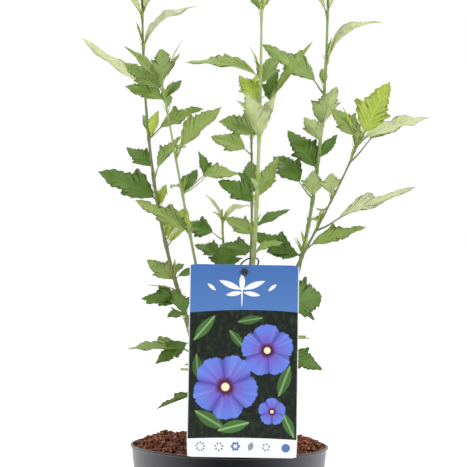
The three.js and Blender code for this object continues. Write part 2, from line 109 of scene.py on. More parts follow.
# Faces of a grid of points. Each row is a closed ring, anticlockwise about the way that the rows go, and
# ends closes the first and the last row with a middle point.
def skin(grid, ends=(True, True)):
    rows, columns = grid.shape[:2]
    index = np.arange(rows * columns).reshape(rows, columns)
    index = np.hstack([index, index[:, :1]])
    quads = np.stack([index[:-1, :-1], index[:-1, 1:], index[1:, 1:], index[1:, :-1]], -1).reshape(-1, 4)
    points = grid.reshape(-1, 3)
    fans = [np.zeros((0, 3), int)]
    for ring, line, wanted in ((index[0][::-1], grid[0], ends[0]), (index[-1], grid[-1], ends[1])):
        if wanted:
            middle = np.full(len(ring) - 1, len(points))
            points = np.vstack([points, line.mean(0)])
            fans.append(np.stack([middle, ring[:-1], ring[1:]], -1))
    v, u = np.meshgrid(np.linspace(0, 1, rows), np.linspace(0, 1, columns), indexing="ij")
    uv = np.stack([u, v], -1).reshape(-1, 2)
    uv = np.vstack([uv, np.full((len(points) - len(uv), 2), 0.5)])
    return shapeOf(points, quads, np.concatenate(fans), uv)


# a round profile carried along a path: each ring stands square to the path
def tube(path, radius, sides):
    tangent = unit(np.gradient(path, axis=0))
    away = np.eye(3)[np.argmin(np.abs(tangent.mean(0)))]
    first = unit(np.cross(tangent, away))
    second = np.cross(tangent, first)
    angle = circle(sides)[None, :, None]
    ring = np.cos(angle) * first[:, None] + np.sin(angle) * second[:, None]
    return skin(path[:, None] + ring * radius[:, None, None])


# surface of revolution about the Z axis from a closed profile of [radius, height], outside first
def lathe(profile, sides):
    radius, height = np.array(profile, float).T[..., None]
    return skin(rings(radius, circle(sides), height))


# a shape as a mesh in metres, on an object at the origin
def objectOf(name, shape, looks, soft=True):
    quads, triangles = shape["quads"], shape["triangles"]
    loops = np.concatenate([quads.ravel(), triangles.ravel()])
    starts = np.concatenate([np.arange(len(quads)) * 4, quads.size + np.arange(len(triangles)) * 3])
    mesh = bpy.data.meshes.new(name)
    mesh.vertices.add(len(shape["points"]))
    mesh.loops.add(len(loops))
    mesh.polygons.add(len(starts))
    mesh.vertices.foreach_set("co", (shape["points"] * mm).ravel())
    mesh.loops.foreach_set("vertex_index", loops)
    mesh.polygons.foreach_set("loop_start", starts)
    for look in looks:
        mesh.materials.append(look.owner)
    mesh.polygons.foreach_set("material_index", shape["looks"].astype(np.int32))
    mesh.polygons.foreach_set("use_smooth", np.full(len(starts), soft))
    plan = mesh.uv_layers.new(name="plan")
    plan.data.foreach_set("uv", shape["uv"][loops].ravel())
    mesh.update(calc_edges=True)
    mesh.validate()
    made = bpy.data.objects.new(name, mesh)
    bpy.context.collection.objects.link(made)
    return made


# a piece of the part: the body it rides on, its kind of material, and the solids it stands for
def pieceOf(name, shape, looks, stands, soft=True):
    piece = objectOf(name, shape, looks, soft)
    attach(piece, "root")
    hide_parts(*stands)
    return piece


# One socket of a material. Sums, products and powers of it add Math nodes.
class Wire:
    def __init__(self, look, socket):
        self.look = look
        self.socket = socket

    def calc(self, operation, *others):
        values = dict(enumerate((self,) + others))
        return self.look.node("ShaderNodeMath", {"operation": operation}, values)

    def __add__(self, other):
        return self.calc("ADD", other)

    __radd__ = __add__

    def __mul__(self, other):
        return self.calc("MULTIPLY", other)

    __rmul__ = __mul__

    def __sub__(self, other):
        return self.calc("SUBTRACT", other)

    def __rsub__(self, other):
        return self * -1.0 + other

    def __truediv__(self, other):
        return self.calc("DIVIDE", other)

    def __pow__(self, other):
        return self.calc("POWER", other)

    # 0 below low, 1 above high, eased between
    def step(self, low, high):
        settings = {"interpolation_type": "SMOOTHSTEP"}
        sockets = {"Value": self, "From Min": low, "From Max": high}
        return self.look.node("ShaderNodeMapRange", settings, sockets)


# The nodes of a new material or world.
class Look:
    def __init__(self, name, kind=bpy.data.materials):
        self.owner = kind.new(name)
        self.owner.use_nodes = True
        self.tree = self.owner.node_tree
        self.tree.nodes.clear()

    # Adds a node: its settings first, then the values or links of its sockets, by name or by place.
    def node(self, kind, settings=None, sockets=None, out=0):
        made = self.tree.nodes.new(kind)
        for key, value in (settings or {}).items():
            setattr(made, key, value)
        for key, value in (sockets or {}).items():
            if isinstance(value, Wire):
                self.tree.links.new(value.socket, made.inputs[key])
            else:
                made.inputs[key].default_value = value
        return Wire(self, made.outputs[out] if made.outputs else None)

    def place(self):
        return self.node("ShaderNodeTexCoord", out="Object")

    def plan(self):
        return self.node("ShaderNodeUVMap", {"uv_map": "plan"})

    def split(self, vector):
        cut = self.node("ShaderNodeSeparateXYZ", {}, {0: vector})
        return [Wire(self, socket) for socket in cut.socket.node.outputs]

    def stretched(self, vector, scale):
        return self.node("ShaderNodeVectorMath", {"operation": "MULTIPLY"}, {0: vector, 1: scale})

    def noise(self, vector, scale, detail=2.0, roughness=0.5):
        sockets = {"Vector": vector, "Scale": scale, "Detail": detail, "Roughness": roughness}
        return self.node("ShaderNodeTexNoise", {}, sockets)

    def cells(self, vector, scale, feature="F1"):
        return self.node("ShaderNodeTexVoronoi", {"feature": feature}, {"Vector": vector, "Scale": scale})

    def blend(self, factor, a, b):
        return self.node("ShaderNodeMix", {"data_type": "RGBA"}, {0: factor, 6: a, 7: b}, out=2)

    def bump(self, height, distance, strength):
        return self.node("ShaderNodeBump", {}, {"Height": height, "Distance": distance, "Strength": strength})

    def surface(self, **sockets):
        named = {key.replace("_", " "): value for key, value in sockets.items()}
        return self.node("ShaderNodeBsdfPrincipled", {}, named)

    def mixed(self, factor, a, b):
        return self.node("ShaderNodeMixShader", {}, {0: factor, 1: a, 2: b})

    def finish(self, shader):
        self.node("ShaderNodeOutputMaterial", {}, {"Surface": shader})
        return self


# linear colour from red, green and blue of 0 to 255 as seen on a screen
def tint(red, green, blue):
    c = np.array([red, green, blue]) / 255
    linear = np.where(c <= 0.04045, c / 12.92, ((c + 0.055) / 1.055) ** 2.4)
    return (*linear.tolist(), 1.0)


# a colour made stronger or weaker, in all its channels or each by its own share
def scaled(colour, gain):
    return (*np.minimum(np.array(colour[:3]) * gain, 1).tolist(), 1.0)


# Canes and leaves as in the part's source.
# A leaf by its height on the cane, its heading and lift in degrees, and its length. The rest has defaults.
def leaf(height, turn, lift, length, tone="mid", **more):
    seed = height + turn
    made = dict(
        height=height, turn=turn, lift=lift, length=length, tone=tone, seed=seed,
        droop=8 + 20 * seeded(seed),
        roll=30 * (seeded(seed + 1) - 0.5),
        fold=16 + 14 * seeded(seed + 2),
        stalk=2 + 0.16 * length,
        stalkLift=min(lift + 20, 80),
        width=1.0,
        ruffle=0.018 + 0.02 * seeded(seed + 3),
        curl=0.10 * (seeded(seed + 4) - 0.35),
    )
    made.update(more)
    made.setdefault("plain", made["length"] < 32 or made["width"] < 0.5)
    return made


canes = {
    "left": dict(
        points=[[-1.5, 5, 186.3], [-60, 6, 330], [-84, 20, 460], [-93, 34, 648]],
        thick=[2.2, 0.7], split=285, bark="brown",
        leaves=[
            leaf(289, 175, 5, 36, "dark", roll=-55, droop=5, stalk=5),
            leaf(292, -20, -5, 26, "dark", roll=50, stalk=5, width=1.4),
            leaf(297, 165, -10, 34, "dark", roll=-55, droop=20, stalk=4, width=1.1),
            leaf(301, 165, 10, 28, roll=0, droop=10, stalk=6, width=0.45),
            leaf(308, 160, 35, 34, roll=-55, droop=10, stalk=6, width=1.1),
            leaf(313, -15, 20, 26, "dark", roll=45, stalk=5, width=1.2),
            leaf(314, 75, 30, 30, "dark", stalk=5, width=0.8),
            leaf(344, 60, 60, 38, "bright", roll=10, droop=10, stalk=10, stalkLift=30, width=1.1),
            leaf(349, 60, 45, 26, "dark", roll=20, droop=20, stalk=24, stalkLift=45, plain=False),
            leaf(380, 60, 65, 24, "bright", roll=0, stalk=4, width=1.4),
            leaf(388, 175, 25, 60, "dark", roll=-50, droop=5, stalk=5, fold=14),
            leaf(392, 95, 10, 32, "dark", droop=20, stalk=4, width=0.7),
            leaf(407, -15, 55, 38, roll=45, droop=5, stalk=14, stalkLift=75, width=1.1),
            leaf(412, 155, 35, 34, "dark", roll=-55, droop=10, stalk=10, stalkLift=75),
            leaf(447, 110, 55, 26),
            leaf(448, -10, 25, 46, roll=50, droop=5, stalk=16, width=0.8),
            leaf(449, -60, 75, 26, "bright", roll=0, stalk=8, stalkLift=20, width=1.1),
            leaf(492, 175, 40, 76, "light", roll=-30, droop=5, stalk=9, width=0.6, plain=True),
            leaf(496, 80, 45, 34),
            leaf(532, -15, 65, 66, "light", roll=35, droop=65, stalk=10, width=1, plain=True),
            leaf(536, 120, 65, 28, width=0.35, stalk=4),
            leaf(563, -164, 55, 48, "light", roll=-10, droop=10, stalk=8),
            leaf(568, -32, 54, 44, "light", roll=15, droop=10, stalk=8),
            leaf(580, 85, 52, 42),
            leaf(602, -140, 56, 38, "light"),
            leaf(612, 15, 58, 36, "light"),
            leaf(628, -75, 66, 30, "bright"),
            leaf(636, 130, 68, 28, "bright"),
        ],
    ),
    "left_inner": dict(
        points=[[0.5, -3, 186.3], [-35, -15, 330], [-57, -32, 440], [-72, -42, 515]],
        thick=[1.9, 0.7], split=334, bark="green",
        leaves=[
            leaf(354, -125, 75, 20, "bright", stalk=4, width=0.6),
            leaf(356, 170, 30, 56, roll=-40, droop=5, stalk=8, width=0.8),
            leaf(360, 85, 15, 30, "dark", width=0.7),
            leaf(364, 150, -25, 24, "light", roll=-40, stalk=5, width=1.4),
            leaf(392, 45, 60, 30, "dark", roll=20, stalk=4, width=1.5, plain=True),
            leaf(395, 20, 105, 26, "dark", roll=-60, droop=5, stalk=28, stalkLift=35, width=1.2, plain=False),
            leaf(396, 15, 5, 36, roll=50, droop=5, stalk=26, stalkLift=40, width=0.95),
            leaf(398, 110, 10, 30, width=0.7),
            leaf(428, -20, 45, 54, roll=50, droop=5, stalk=13, width=1.15),
            leaf(432, 75, 20, 28),
            leaf(470, 100, 45, 30),
            leaf(481, 175, 20, 38, roll=-50, droop=5, stalk=4, width=1.1),
            leaf(482, 30, 50, 24, "dark", roll=40, stalk=4, width=1.3),
            leaf(489, 165, 35, 44, roll=-45, droop=5, stalk=6, width=1.1),
            leaf(494, 165, 45, 50, roll=-30, droop=5, stalk=6, width=0.7, plain=True),
            leaf(497, -90, 70, 38, "dark", roll=0, droop=45, stalk=4, width=0.95),
            leaf(503, 15, 65, 24, roll=40, stalk=8, stalkLift=30, width=0.6),
            leaf(506, -15, 70, 32, stalk=8, stalkLift=30, width=0.2),
            leaf(511, 90, 70, 16, "bright", stalk=3),
        ],
    ),
    "centre": dict(
        points=[[9, -4, 186.3], [20, -22, 331], [24, -27, 480], [23, -34, 658]],
        thick=[2.6, 0.7], split=334, bark="pale",
        leaves=[
            leaf(338, -20, 30, 28, roll=40, stalk=4, width=1.3),
            leaf(341, 165, 10, 32, "dark", roll=-50, droop=10, stalk=4),
            leaf(354, 160, 30, 32, roll=-55, droop=10, stalk=5, width=1.05),
            leaf(362, -10, 35, 34, "dark", roll=45, droop=20, stalk=5, plain=True),
            leaf(384, 165, 30, 40, "dark", roll=-55, droop=5, stalk=6, width=1.15),
            leaf(388, 30, 60, 44, roll=45, droop=5, stalk=6, width=0.8),
            leaf(398, -110, 40, 18, stalk=4),
            leaf(445, -115, 65, 52, "light", roll=0, droop=30, stalk=5, width=0.95),
            leaf(447, -30, 70, 44, "light", roll=-20, droop=10, stalk=4, width=0.9, plain=True),
            leaf(449, 15, 55, 72, roll=50, droop=5, stalk=37, width=0.35),
            leaf(450, 165, 20, 40, roll=-55, droop=10, stalk=4, width=1.15),
            leaf(454, 45, 80, 32, "dark", roll=0, droop=20, stalk=34, stalkLift=65, width=1.15),
            leaf(478, 150, 50, 32, "bright", roll=-50, droop=10, stalk=8, width=1.2),
            leaf(496, 35, 60, 36, roll=30, droop=10, stalk=5, width=1.1),
            leaf(505, -170, 20, 66, roll=-35, droop=30, stalk=8, width=0.7),
            leaf(507, 170, 75, 28, "bright", width=0.35, stalk=3),
            leaf(561, 100, 52, 44),
            leaf(563, -20, 60, 42, "light", roll=15, stalk=13),
            leaf(568, -162, 60, 42, "light", roll=-15, stalk=8),
            leaf(590, 60, 56, 42),
            leaf(598, -80, 60, 40, "light"),
            leaf(614, 160, 58, 40, "light"),
            leaf(624, 10, 60, 38, "light"),
            leaf(640, -120, 66, 30, "bright"),
            leaf(648, 60, 70, 28, "bright"),
        ],
    ),
    "centre_back": dict(
        points=[[8, 13, 186.3], [18, 14, 337], [18, 17, 400], [15, 24, 486]],
        thick=[2.0, 0.8], split=341, bark="brown",
        leaves=[
            leaf(360, 60, 20, 24, "dark"),
            leaf(387, 95, 60, 40, "dark", roll=0, droop=15, stalk=10, width=1.2),
            leaf(400, 30, 30, 24, "dark"),
            leaf(434, 170, 20, 36, roll=-55, droop=5, stalk=9, width=1.2),
            leaf(446, 80, 30, 28),
            leaf(466, 150, 55, 22, "light"),
            leaf(474, 20, 55, 20, "light"),
            leaf(481, -60, 70, 26, "bright", stalk=8, width=1.1),
        ],
    ),
    "right": dict(
        points=[[15.5, 9, 186.3], [66, 15, 331], [85, 26, 464], [90, 42, 652]],
        thick=[2.4, 0.8], split=334, bark="green",
        leaves=[
            leaf(336, 175, 5, 30, "dark", roll=-60, droop=5, stalk=4, width=1.1, plain=False),
            leaf(338, 165, 25, 46, "dark", roll=-55, droop=0, stalk=9, stalkLift=10, width=0.95),
            leaf(346, -120, 70, 14, "bright", width=0.6, stalk=3),
            leaf(366, 75, 15, 32, "dark", width=0.7),
            leaf(388, -90, 50, 36, roll=0, droop=15, stalk=8, width=1.05),
            leaf(392, 160, 50, 42, "dark", roll=-55, droop=40, stalk=22, stalkLift=50, width=1.15),
            leaf(418, 155, 50, 46, "dark", roll=-50, droop=0, stalk=6, width=1.1),
            leaf(430, 24, 50, 30, "dark", roll=50, droop=0, stalk=3),
            leaf(446, -130, 45, 34, roll=25, droop=15, stalk=4, width=1.15),
            leaf(462, -65, 60, 46, roll=0, droop=20, stalk=3, width=1.15),
            leaf(468, 80, 30, 30),
            leaf(494, 170, 35, 64, roll=-50, droop=5, stalk=17, fold=14, width=0.75),
            leaf(498, 100, 60, 22),
            leaf(518, -25, 75, 26, "bright", width=0.4, stalk=12),
            leaf(522, -10, 55, 60, "light", roll=30, droop=60, stalk=17, width=0.95, plain=True),
            leaf(524, 60, 70, 24, width=0.35),
            leaf(567, -165, 56, 44, "light", roll=-15, droop=20, stalk=12),
            leaf(572, -20, 62, 42, "light", stalk=8),
            leaf(586, 100, 56, 42),
            leaf(602, -110, 58, 38, "light"),
            leaf(614, 170, 58, 38, "light"),
            leaf(626, 20, 60, 34, "light"),
            leaf(638, -60, 66, 30, "bright"),
            leaf(644, 110, 70, 28, "bright"),
        ],
    ),
    "right_outer": dict(
        points=[[16, -3, 186.3], [62, -10, 328], [96, -24, 397], [119, -38, 452]],
        thick=[2.1, 0.8], split=331, bark="brown",
        leaves=[
            leaf(344, -10, 20, 54, roll=50, droop=5, stalk=8, width=0.65),
            leaf(362, -10, 25, 78, "light", roll=30, droop=5, stalk=26, stalkLift=30, width=0.6),
            leaf(366, 60, 55, 14, "bright", stalk=4),
            leaf(376, 90, 15, 30),
            leaf(390, -95, 45, 32, droop=20, stalk=9, width=1.1),
            leaf(398, 110, 20, 28),
            leaf(427, 10, 30, 42, roll=50, droop=15, stalk=30, stalkLift=50, width=0.95, plain=True),
            leaf(438, 75, 40, 30),
            leaf(440, 180, 70, 28, "bright", roll=40, width=0.45, stalk=14),
            leaf(442, -20, 65, 52, "bright", roll=75, droop=5, stalk=16, stalkLift=60, fold=14, width=1.2),
            leaf(443, 15, 25, 72, "light", roll=40, droop=20, stalk=10, width=0.65, plain=True),
            leaf(444, 170, 50, 34, roll=-60, stalk=9, width=1.2),
            leaf(449, 130, 60, 24, "light", stalk=4),
        ],
    ),
    "short": dict(
        points=[[2, 10, 186.3], [-5, 24, 280], [-8, 32, 330], [-11, 40, 382]],
        thick=[1.7, 0.8], split=306, bark="green",
        leaves=[
            leaf(318, -90, 60, 28, "dark", roll=180, droop=0, stalk=6, width=1.8, fold=10, plain=False),
            leaf(321, 165, 30, 32, "dark", roll=-50, droop=30, stalk=14, stalkLift=75),
            leaf(326, 15, 25, 32, "dark", roll=50, droop=30, stalk=10, stalkLift=65),
            leaf(336, 95, 10, 24),
            leaf(351, 175, 15, 32, "dark", roll=-60, droop=10, stalk=13, width=1.2),
            leaf(364, -15, 65, 36, "light", roll=40, droop=80, stalk=4, width=0.9, plain=True),
            leaf(368, 120, 30, 18),
            leaf(370, -175, 60, 28, "light", roll=-40, stalk=4, width=0.55, plain=True),
        ],
    ),
    "low_left": dict(
        points=[[3, 3, 166], [-20, -7, 196], [-35, -16, 238], [-44, -22, 276]],
        thick=[1.5, 0.8], split=0, bark="green",
        leaves=[
            leaf(204, -175, -20, 40, "dark", roll=-10, droop=5, stalk=10, width=0.8),
            leaf(222, 120, 5, 30),
            leaf(244, 178, 5, 54, roll=-20, droop=15, stalk=10),
            leaf(254, -165, -30, 36, "dark", roll=-40, droop=10, stalk=4, width=1.1),
            leaf(270, -120, 10, 30, "dark", roll=-20, stalk=10, stalkLift=80, width=1.2, plain=False),
            leaf(274, 120, 50, 34, "dark"),
        ],
    ),
    "low_right": dict(
        points=[[10, 3, 166], [33, -5, 198], [45, -10, 242], [50, -14, 288]],
        thick=[1.5, 0.8], split=0, bark="green",
        leaves=[
            leaf(214, 70, 10, 36, "dark"),
            leaf(244, -10, -20, 38, "dark", roll=50, droop=10, stalk=8, width=1.1),
            leaf(250, 40, 15, 34),
            leaf(276, 45, 5, 52, "dark", roll=80, droop=5, stalk=18, stalkLift=70, width=1.3),
            leaf(282, -150, 60, 26),
            leaf(286, -60, 60, 26),
        ],
    ),
    "low_back": dict(
        points=[[7, 7, 166], [5, 31, 198], [0, 46, 240], [-6, 56, 282]],
        thick=[1.5, 0.8], split=0, bark="green",
        leaves=[
            leaf(206, 60, 5, 46, "dark"),
            leaf(222, 150, 10, 48, "dark"),
            leaf(240, 30, 20, 48),
            leaf(254, 120, 25, 44),
            leaf(268, -170, 30, 36),
            leaf(276, 70, 45, 38),
            leaf(280, 0, 50, 32),
        ],
    ),
}


# x and y are cubics in the height through the cane's four points
def caneAt(cane, height):
    height = np.asarray(height, float)
    knots = np.array(cane["points"], float)
    place = xyz(0.0, 0.0, height)
    for i, knot in enumerate(knots):
        others = np.delete(knots[:, 2], i)
        share = np.prod((height[..., None] - others) / (knot[2] - others), -1)
        place[..., :2] += share[..., None] * knot[:2]
    return place


# thickness falls evenly from foot to tip
def radiusAt(cane, height):
    foot, tip = cane["points"][0][2], cane["points"][3][2]
    return np.interp(height, [foot, tip], cane["thick"])


# way of length 1 that a turn about Z and a lift above level give, both in degrees
def heading(turn, lift):
    a, b = np.radians(turn), np.radians(lift)
    return np.array([np.cos(b) * np.cos(a), np.cos(b) * np.sin(a), np.sin(b)])


# frame of a blade: along its midrib, to its left side, out of its upper face, and its base
def bladeFrame(cane, item):
    along = heading(item["turn"], item["lift"])
    level = unit(np.cross([0, 0, 1], along))
    upper = np.cross(along, level)
    roll = np.radians(item["roll"])
    side = level * np.cos(roll) + upper * np.sin(roll)
    foot = caneAt(cane, item["height"])
    base = foot + heading(item["turn"], item["stalkLift"]) * item["stalk"]
    return foot, base, np.array([along, side, np.cross(along, side)])


# the flat blade is folded about its midrib, then drooped along an arc
def bendBlade(item, along, aside, rise):
    fold = np.radians(item["fold"])
    droop = np.radians(item["droop"] if abs(item["droop"]) >= 1 else 1) / item["length"]
    side = aside * np.cos(fold)
    top = np.abs(aside) * np.sin(fold) + rise
    x = np.sin(droop * along) / droop + top * np.sin(droop * along)
    z = (np.cos(droop * along) - 1) / droop + top * np.cos(droop * along)
    return xyz(x, side, z)


# Half of a toothed outline in blade lengths, from base to tip. A row is a tooth: the foot of its vein on the
# midrib, its tip along and aside, and the share that the notch after it cuts in.
lobedTeeth = np.array([
    [0.00, 0.00, 0.014, 0.00],
    [0.02, 0.06, 0.090, 0.04],
    [0.05, 0.18, 0.195, 0.06],
    [0.08, 0.33, 0.280, 0.08],
    [0.12, 0.47, 0.335, 0.10],
    [0.22, 0.48, 0.245, 0.26],
    [0.34, 0.57, 0.210, 0.12],
    [0.48, 0.69, 0.175, 0.14],
    [0.63, 0.80, 0.125, 0.14],
    [0.82, 0.93, 0.050, 0.12],
    [1.00, 1.00, 0.000, 0.00],
])
plainTeeth = np.array([
    [0.00, 0.00, 0.020, 0.00],
    [0.06, 0.14, 0.110, 0.02],
    [0.18, 0.28, 0.178, 0.03],
    [0.33, 0.42, 0.205, 0.05],
    [0.50, 0.58, 0.180, 0.08],
    [0.66, 0.73, 0.132, 0.10],
    [0.84, 0.91, 0.052, 0.10],
    [1.00, 1.00, 0.000, 0.00],
])
leafSize = dict(
    across=np.array([-1, -0.66, -0.27, 0, 0.27, 0.66, 1.0]),
    notchAt=0.34,  # share of the way from a tooth's tip to the next
    backAt=0.62,
    backOut=0.07,
    uneven=0.14,  # how much the teeth differ in their reach
    swing=0.16,  # how much the halves of a blade differ
    waves=1.6,  # waves of the margin along a blade
    half=0.24,  # half the thickness at the midrib
    rimHalf=0.10,
    thinFrom=0.75,  # from here on the blade thins to its tip, by tipThin
    tipThin=0.6,
    quilt=0.0035,
    midrib=0.5,
    groove=0.35,  # share of the midrib that sinks the upper face
    flatBelow=0.12,  # a blade narrower than this, in blade lengths, ruffles less
    kinds=8,
    veins=12,  # one leaf takes a unit of the plan's first coordinate, for up to so many veins
)


# Outline rows of foot, along and aside, with the number of the vein at each: after every tooth's tip come
# its notch and the full back of the next tooth.
def toothedRows(teeth):
    size = leafSize
    tips, step = teeth[:-1, :3], np.diff(teeth[:, :3], axis=0)
    notch = tips + step * size["notchAt"]
    back = tips + step * size["backAt"]
    notch[:, 2] *= 1 - teeth[:-1, 3]
    back[:, 2] *= 1 + size["backOut"]
    rows = np.stack([tips, notch, back], 1).reshape(-1, 3)
    vein = np.add.outer(np.arange(len(tips)), [0, size["notchAt"], size["backAt"]]).ravel()
    return np.vstack([rows, teeth[-1, :3]]), np.append(vein, len(tips))


# A blade: rows run from base to tip and columns across. Teeth differ a little from side to side, the margin
# waves, and the web between the side veins stands up. Upper and lower faces share the margin. A bud's blade
# has only every other tooth.
def bladeShape(cane, item, bud=False):
    size = leafSize
    long, seed = item["length"], item["seed"]
    if bud:
        rows, vein, across = plainTeeth[[0, 2, 4, 6, 7], :3], np.arange(5.0), np.array([-1, 0, 1.0])
    else:
        rows, vein = toothedRows(plainTeeth if item["plain"] else lobedTeeth)
        across = size["across"]
    foot, reachAlong, reachAside = (rows[:, k, None] for k in range(3))
    a = across[None, :]
    uneven = 1 + size["uneven"] * (seeded(seed + 5 + 3.1 * vein[:, None] + np.sign(a)) - 0.5)
    swing = 1 + size["swing"] * (seeded(seed + 5) - 0.5) * np.sign(a)
    along = (foot + (reachAlong - foot) * np.abs(a)) * long
    aside = a * reachAside * item["width"] * long * swing * uneven
    waves = turnFull * (size["waves"] + seeded(seed + 6))
    wave = np.sin(waves * along / long + 2.2 * np.sign(a) + 6 * seeded(seed + 7))
    rise = item["ruffle"] * long * wave * np.abs(a) ** 1.5 * ease(along / long, 0.05, 0.5)
    rise = rise - item["curl"] * long * a ** 2 * ease(along / long, 0.1, 0.8)
    web = -np.cos(turnFull * vein)[:, None] * 4 * np.abs(a) * (1 - np.abs(a))
    rise = rise + size["quilt"] * long * 0.5 * web * (0 if item["plain"] else 1)
    rise = rise * np.minimum(1, reachAside * item["width"] / size["flatBelow"])
    taper = 1 - ease(along / long, size["thinFrom"], 1.0) * size["tipThin"]
    half = (size["rimHalf"] + (size["half"] - size["rimHalf"]) * (1 - a ** 2)) * taper
    rib = size["midrib"] * (np.abs(a) < 0.1) * (1 - along / long)
    _, base, basis = bladeFrame(cane, item)
    upper = bendBlade(item, along, aside, rise + half - rib * size["groove"]) @ basis + base
    lower = bendBlade(item, along, aside, rise - half - rib) @ basis + base
    edge = 0.5 * (upper + lower)
    upper[:, [0, -1]] = edge[:, [0, -1]]
    lower[:, [0, -1]] = edge[:, [0, -1]]
    kind = np.floor(seeded(seed + 8) * size["kinds"])
    return leafSkin(upper, lower, kind + vein / size["veins"], across)


# Two sheets with one margin: a ring for each row goes up over the upper face and back under the lower one.
def leafSkin(upper, lower, plan, across):
    rows, columns = upper.shape[:2]
    ring = np.concatenate([upper, lower[:, -2:0:-1]], 1)
    made = skin(ring[:, ::-1])
    a = np.concatenate([across, across[-2:0:-1]])[::-1]
    uv = np.stack(np.broadcast_arrays(plan[:, None], (a + 1) / 2), -1).reshape(-1, 2)
    made["uv"] = np.vstack([uv, [[plan[0], 0.5], [plan[-1], 0.5]]])
    # faces of the reversed ring: the first columns - 2 belong to the lower face, the rest to the upper one
    low = np.arange(ring.shape[1]) < columns - 2
    low[-1] = True
    made["looks"] = np.concatenate([np.tile(low, rows - 1), low, low]).astype(int)
    return made


# Colours of a leaf by its tone: upper face, lower face and the light that comes through.
leafTones = dict(
    dark=dict(upper=tint(98, 129, 58), lower=tint(144, 166, 104), glow=tint(156, 190, 68)),
    mid=dict(upper=tint(146, 168, 97), lower=tint(188, 204, 146), glow=tint(190, 213, 106)),
    light=dict(upper=tint(206, 215, 176), lower=tint(200, 212, 162), glow=tint(212, 224, 166)),
    bright=dict(upper=tint(176, 196, 86), lower=tint(188, 206, 98), glow=tint(202, 222, 100)),
)


# Paler veins and margin on a mottled blade. Each kind of leaf is a little lighter or yellower than the next.
def leafLook(name, colour, glow, rough, veinGain, gloss):
    look = Look(name)
    u, v, _ = look.split(look.plan())
    place = look.place()
    kind = u.calc("FLOOR") / (leafSize["kinds"] - 1.0)
    vein = u.calc("FRACT") * float(leafSize["veins"])
    away = (v * 2.0 - 1.0).calc("ABSOLUTE")
    near = ((vein + 0.5).calc("FRACT") - 0.5).calc("ABSOLUTE")
    sideVein = (1.0 - near.step(0.03, 0.12)) * (1.0 - away.step(0.6, 1.0)) * vein.step(0.3, 0.9)
    midVein = 1.0 - away.step(0.02, 0.10)
    veins = midVein.calc("MAXIMUM", sideVein * 0.7)
    mottle = look.noise(place, 110.0, 3.0, 0.6)
    cloud = look.noise(place, 38.0, 2.0, 0.5)
    net = look.cells(place, 620.0, "DISTANCE_TO_EDGE").step(0.0, 0.16)
    pale, deep, yellow = scaled(colour, veinGain), scaled(colour, 0.72), scaled(colour, (1.28, 1.14, 0.86))
    body = look.blend((mottle * 0.6 + cloud * 0.4).step(0.34, 0.62), deep, colour)
    body = look.blend(cloud.step(0.5, 0.8) * 0.35 + kind * 0.35, body, yellow)
    body = look.blend((1.0 - net) * 0.14, body, pale)
    body = look.blend(veins * 0.6, body, pale)
    body = look.blend(away.step(0.90, 1.0) * 0.35, body, pale)
    shader = look.surface(
        Base_Color=body, Roughness=mottle * 0.16 + (rough - 0.08), Specular_IOR_Level=gloss,
        Normal=look.bump(mottle * 0.2 - veins * 0.7, 0.00025, 0.4),
    )
    through = look.node("ShaderNodeBsdfTranslucent", {}, {"Color": glow})
    return look.finish(look.mixed(0.30, shader, through))


leafLooks = {
    tone: (
        leafLook(f"leaf_{tone}_upper", c["upper"], c["glow"], rough=0.48, veinGain=1.6, gloss=0.42),
        leafLook(f"leaf_{tone}_lower", c["lower"], c["glow"], rough=0.72, veinGain=1.2, gloss=0.25),
    )
    for tone, c in leafTones.items()
}
print("leaf looks ready")


barkTones = dict(
    brown=dict(young=tint(118, 128, 84), old=tint(102, 98, 76)),
    green=dict(young=tint(140, 160, 96), old=tint(118, 124, 88)),
    pale=dict(young=tint(160, 178, 118), old=tint(138, 146, 104)),
    wood=dict(young=tint(122, 112, 84), old=tint(98, 84, 62)),
)


# bark: young green above, older grey-brown below, with long dark streaks and pale pores
def barkLook(name, young, old):
    look = Look(name)
    place = look.place()
    height = look.split(place)[2]
    streak = look.noise(look.stretched(place, (900, 900, 60)), 1.0, 3.0, 0.6)
    patch = look.noise(place, 60.0, 2.0, 0.5)
    pore = 1.0 - look.cells(look.stretched(place, (420, 420, 190)), 1.0).step(0.10, 0.24)
    ageing = 1.0 - (height + patch * 0.10).step(0.20, 0.48)
    body = look.blend(ageing, young, old)
    body = look.blend(streak.step(0.42, 0.72) * 0.55, body, scaled(old, 0.62))
    body = look.blend(pore * 0.6, body, scaled(young, 1.35))
    return look.finish(look.surface(
        Base_Color=body, Roughness=patch * 0.2 + 0.5, Specular_IOR_Level=0.35,
        Normal=look.bump(streak * 0.7 + pore * 0.5, 0.0004, 0.6),
    ))


barkLooks = {tone: barkLook(f"bark_{tone}", **c) for tone, c in barkTones.items()}
stemSize = dict(
    sides=14, step=1.6, nodeSwell=0.30, nodeSpan=2.4, swellMost=1.9, flareSpan=7.0, ridge=0.07,
    flare=0.55, scarFrom=26, scarTo=8, scarStep=29.0, scarShift=5, bed=7, overlap=0.6,
)


# A stem between two heights: level rings follow the cane, swell at its nodes and carry fine ridges.
def stemShape(cane, low, high, nodes, flare=0.0):
    size = stemSize
    height = np.linspace(low, high, max(int((high - low) / size["step"]), 4))[:, None]
    angle = circle(size["sides"])
    swell = 1 + size["nodeSwell"] * np.exp(-((height - nodes) / size["nodeSpan"]) ** 2).max(1, keepdims=True)
    swell = np.minimum(swell + flare * np.exp(-(height - low) / size["flareSpan"]), size["swellMost"])
    centre = caneAt(cane, height)
    knots = field(rings(3, angle, height / 9) + cane["points"][0][0], 1.0)
    radius = radiusAt(cane, height) * (swell + size["ridge"] * knots)
    return skin(rings(radius, angle, height, centre[..., 0], centre[..., 1]))


stalkSize = dict(
    bow=0.06, underFrom=0.03, underTo=0.5, sink=0.35, root=1.0, top=0.6, tip=0.2, full=45, rows=6, sides=6,
)


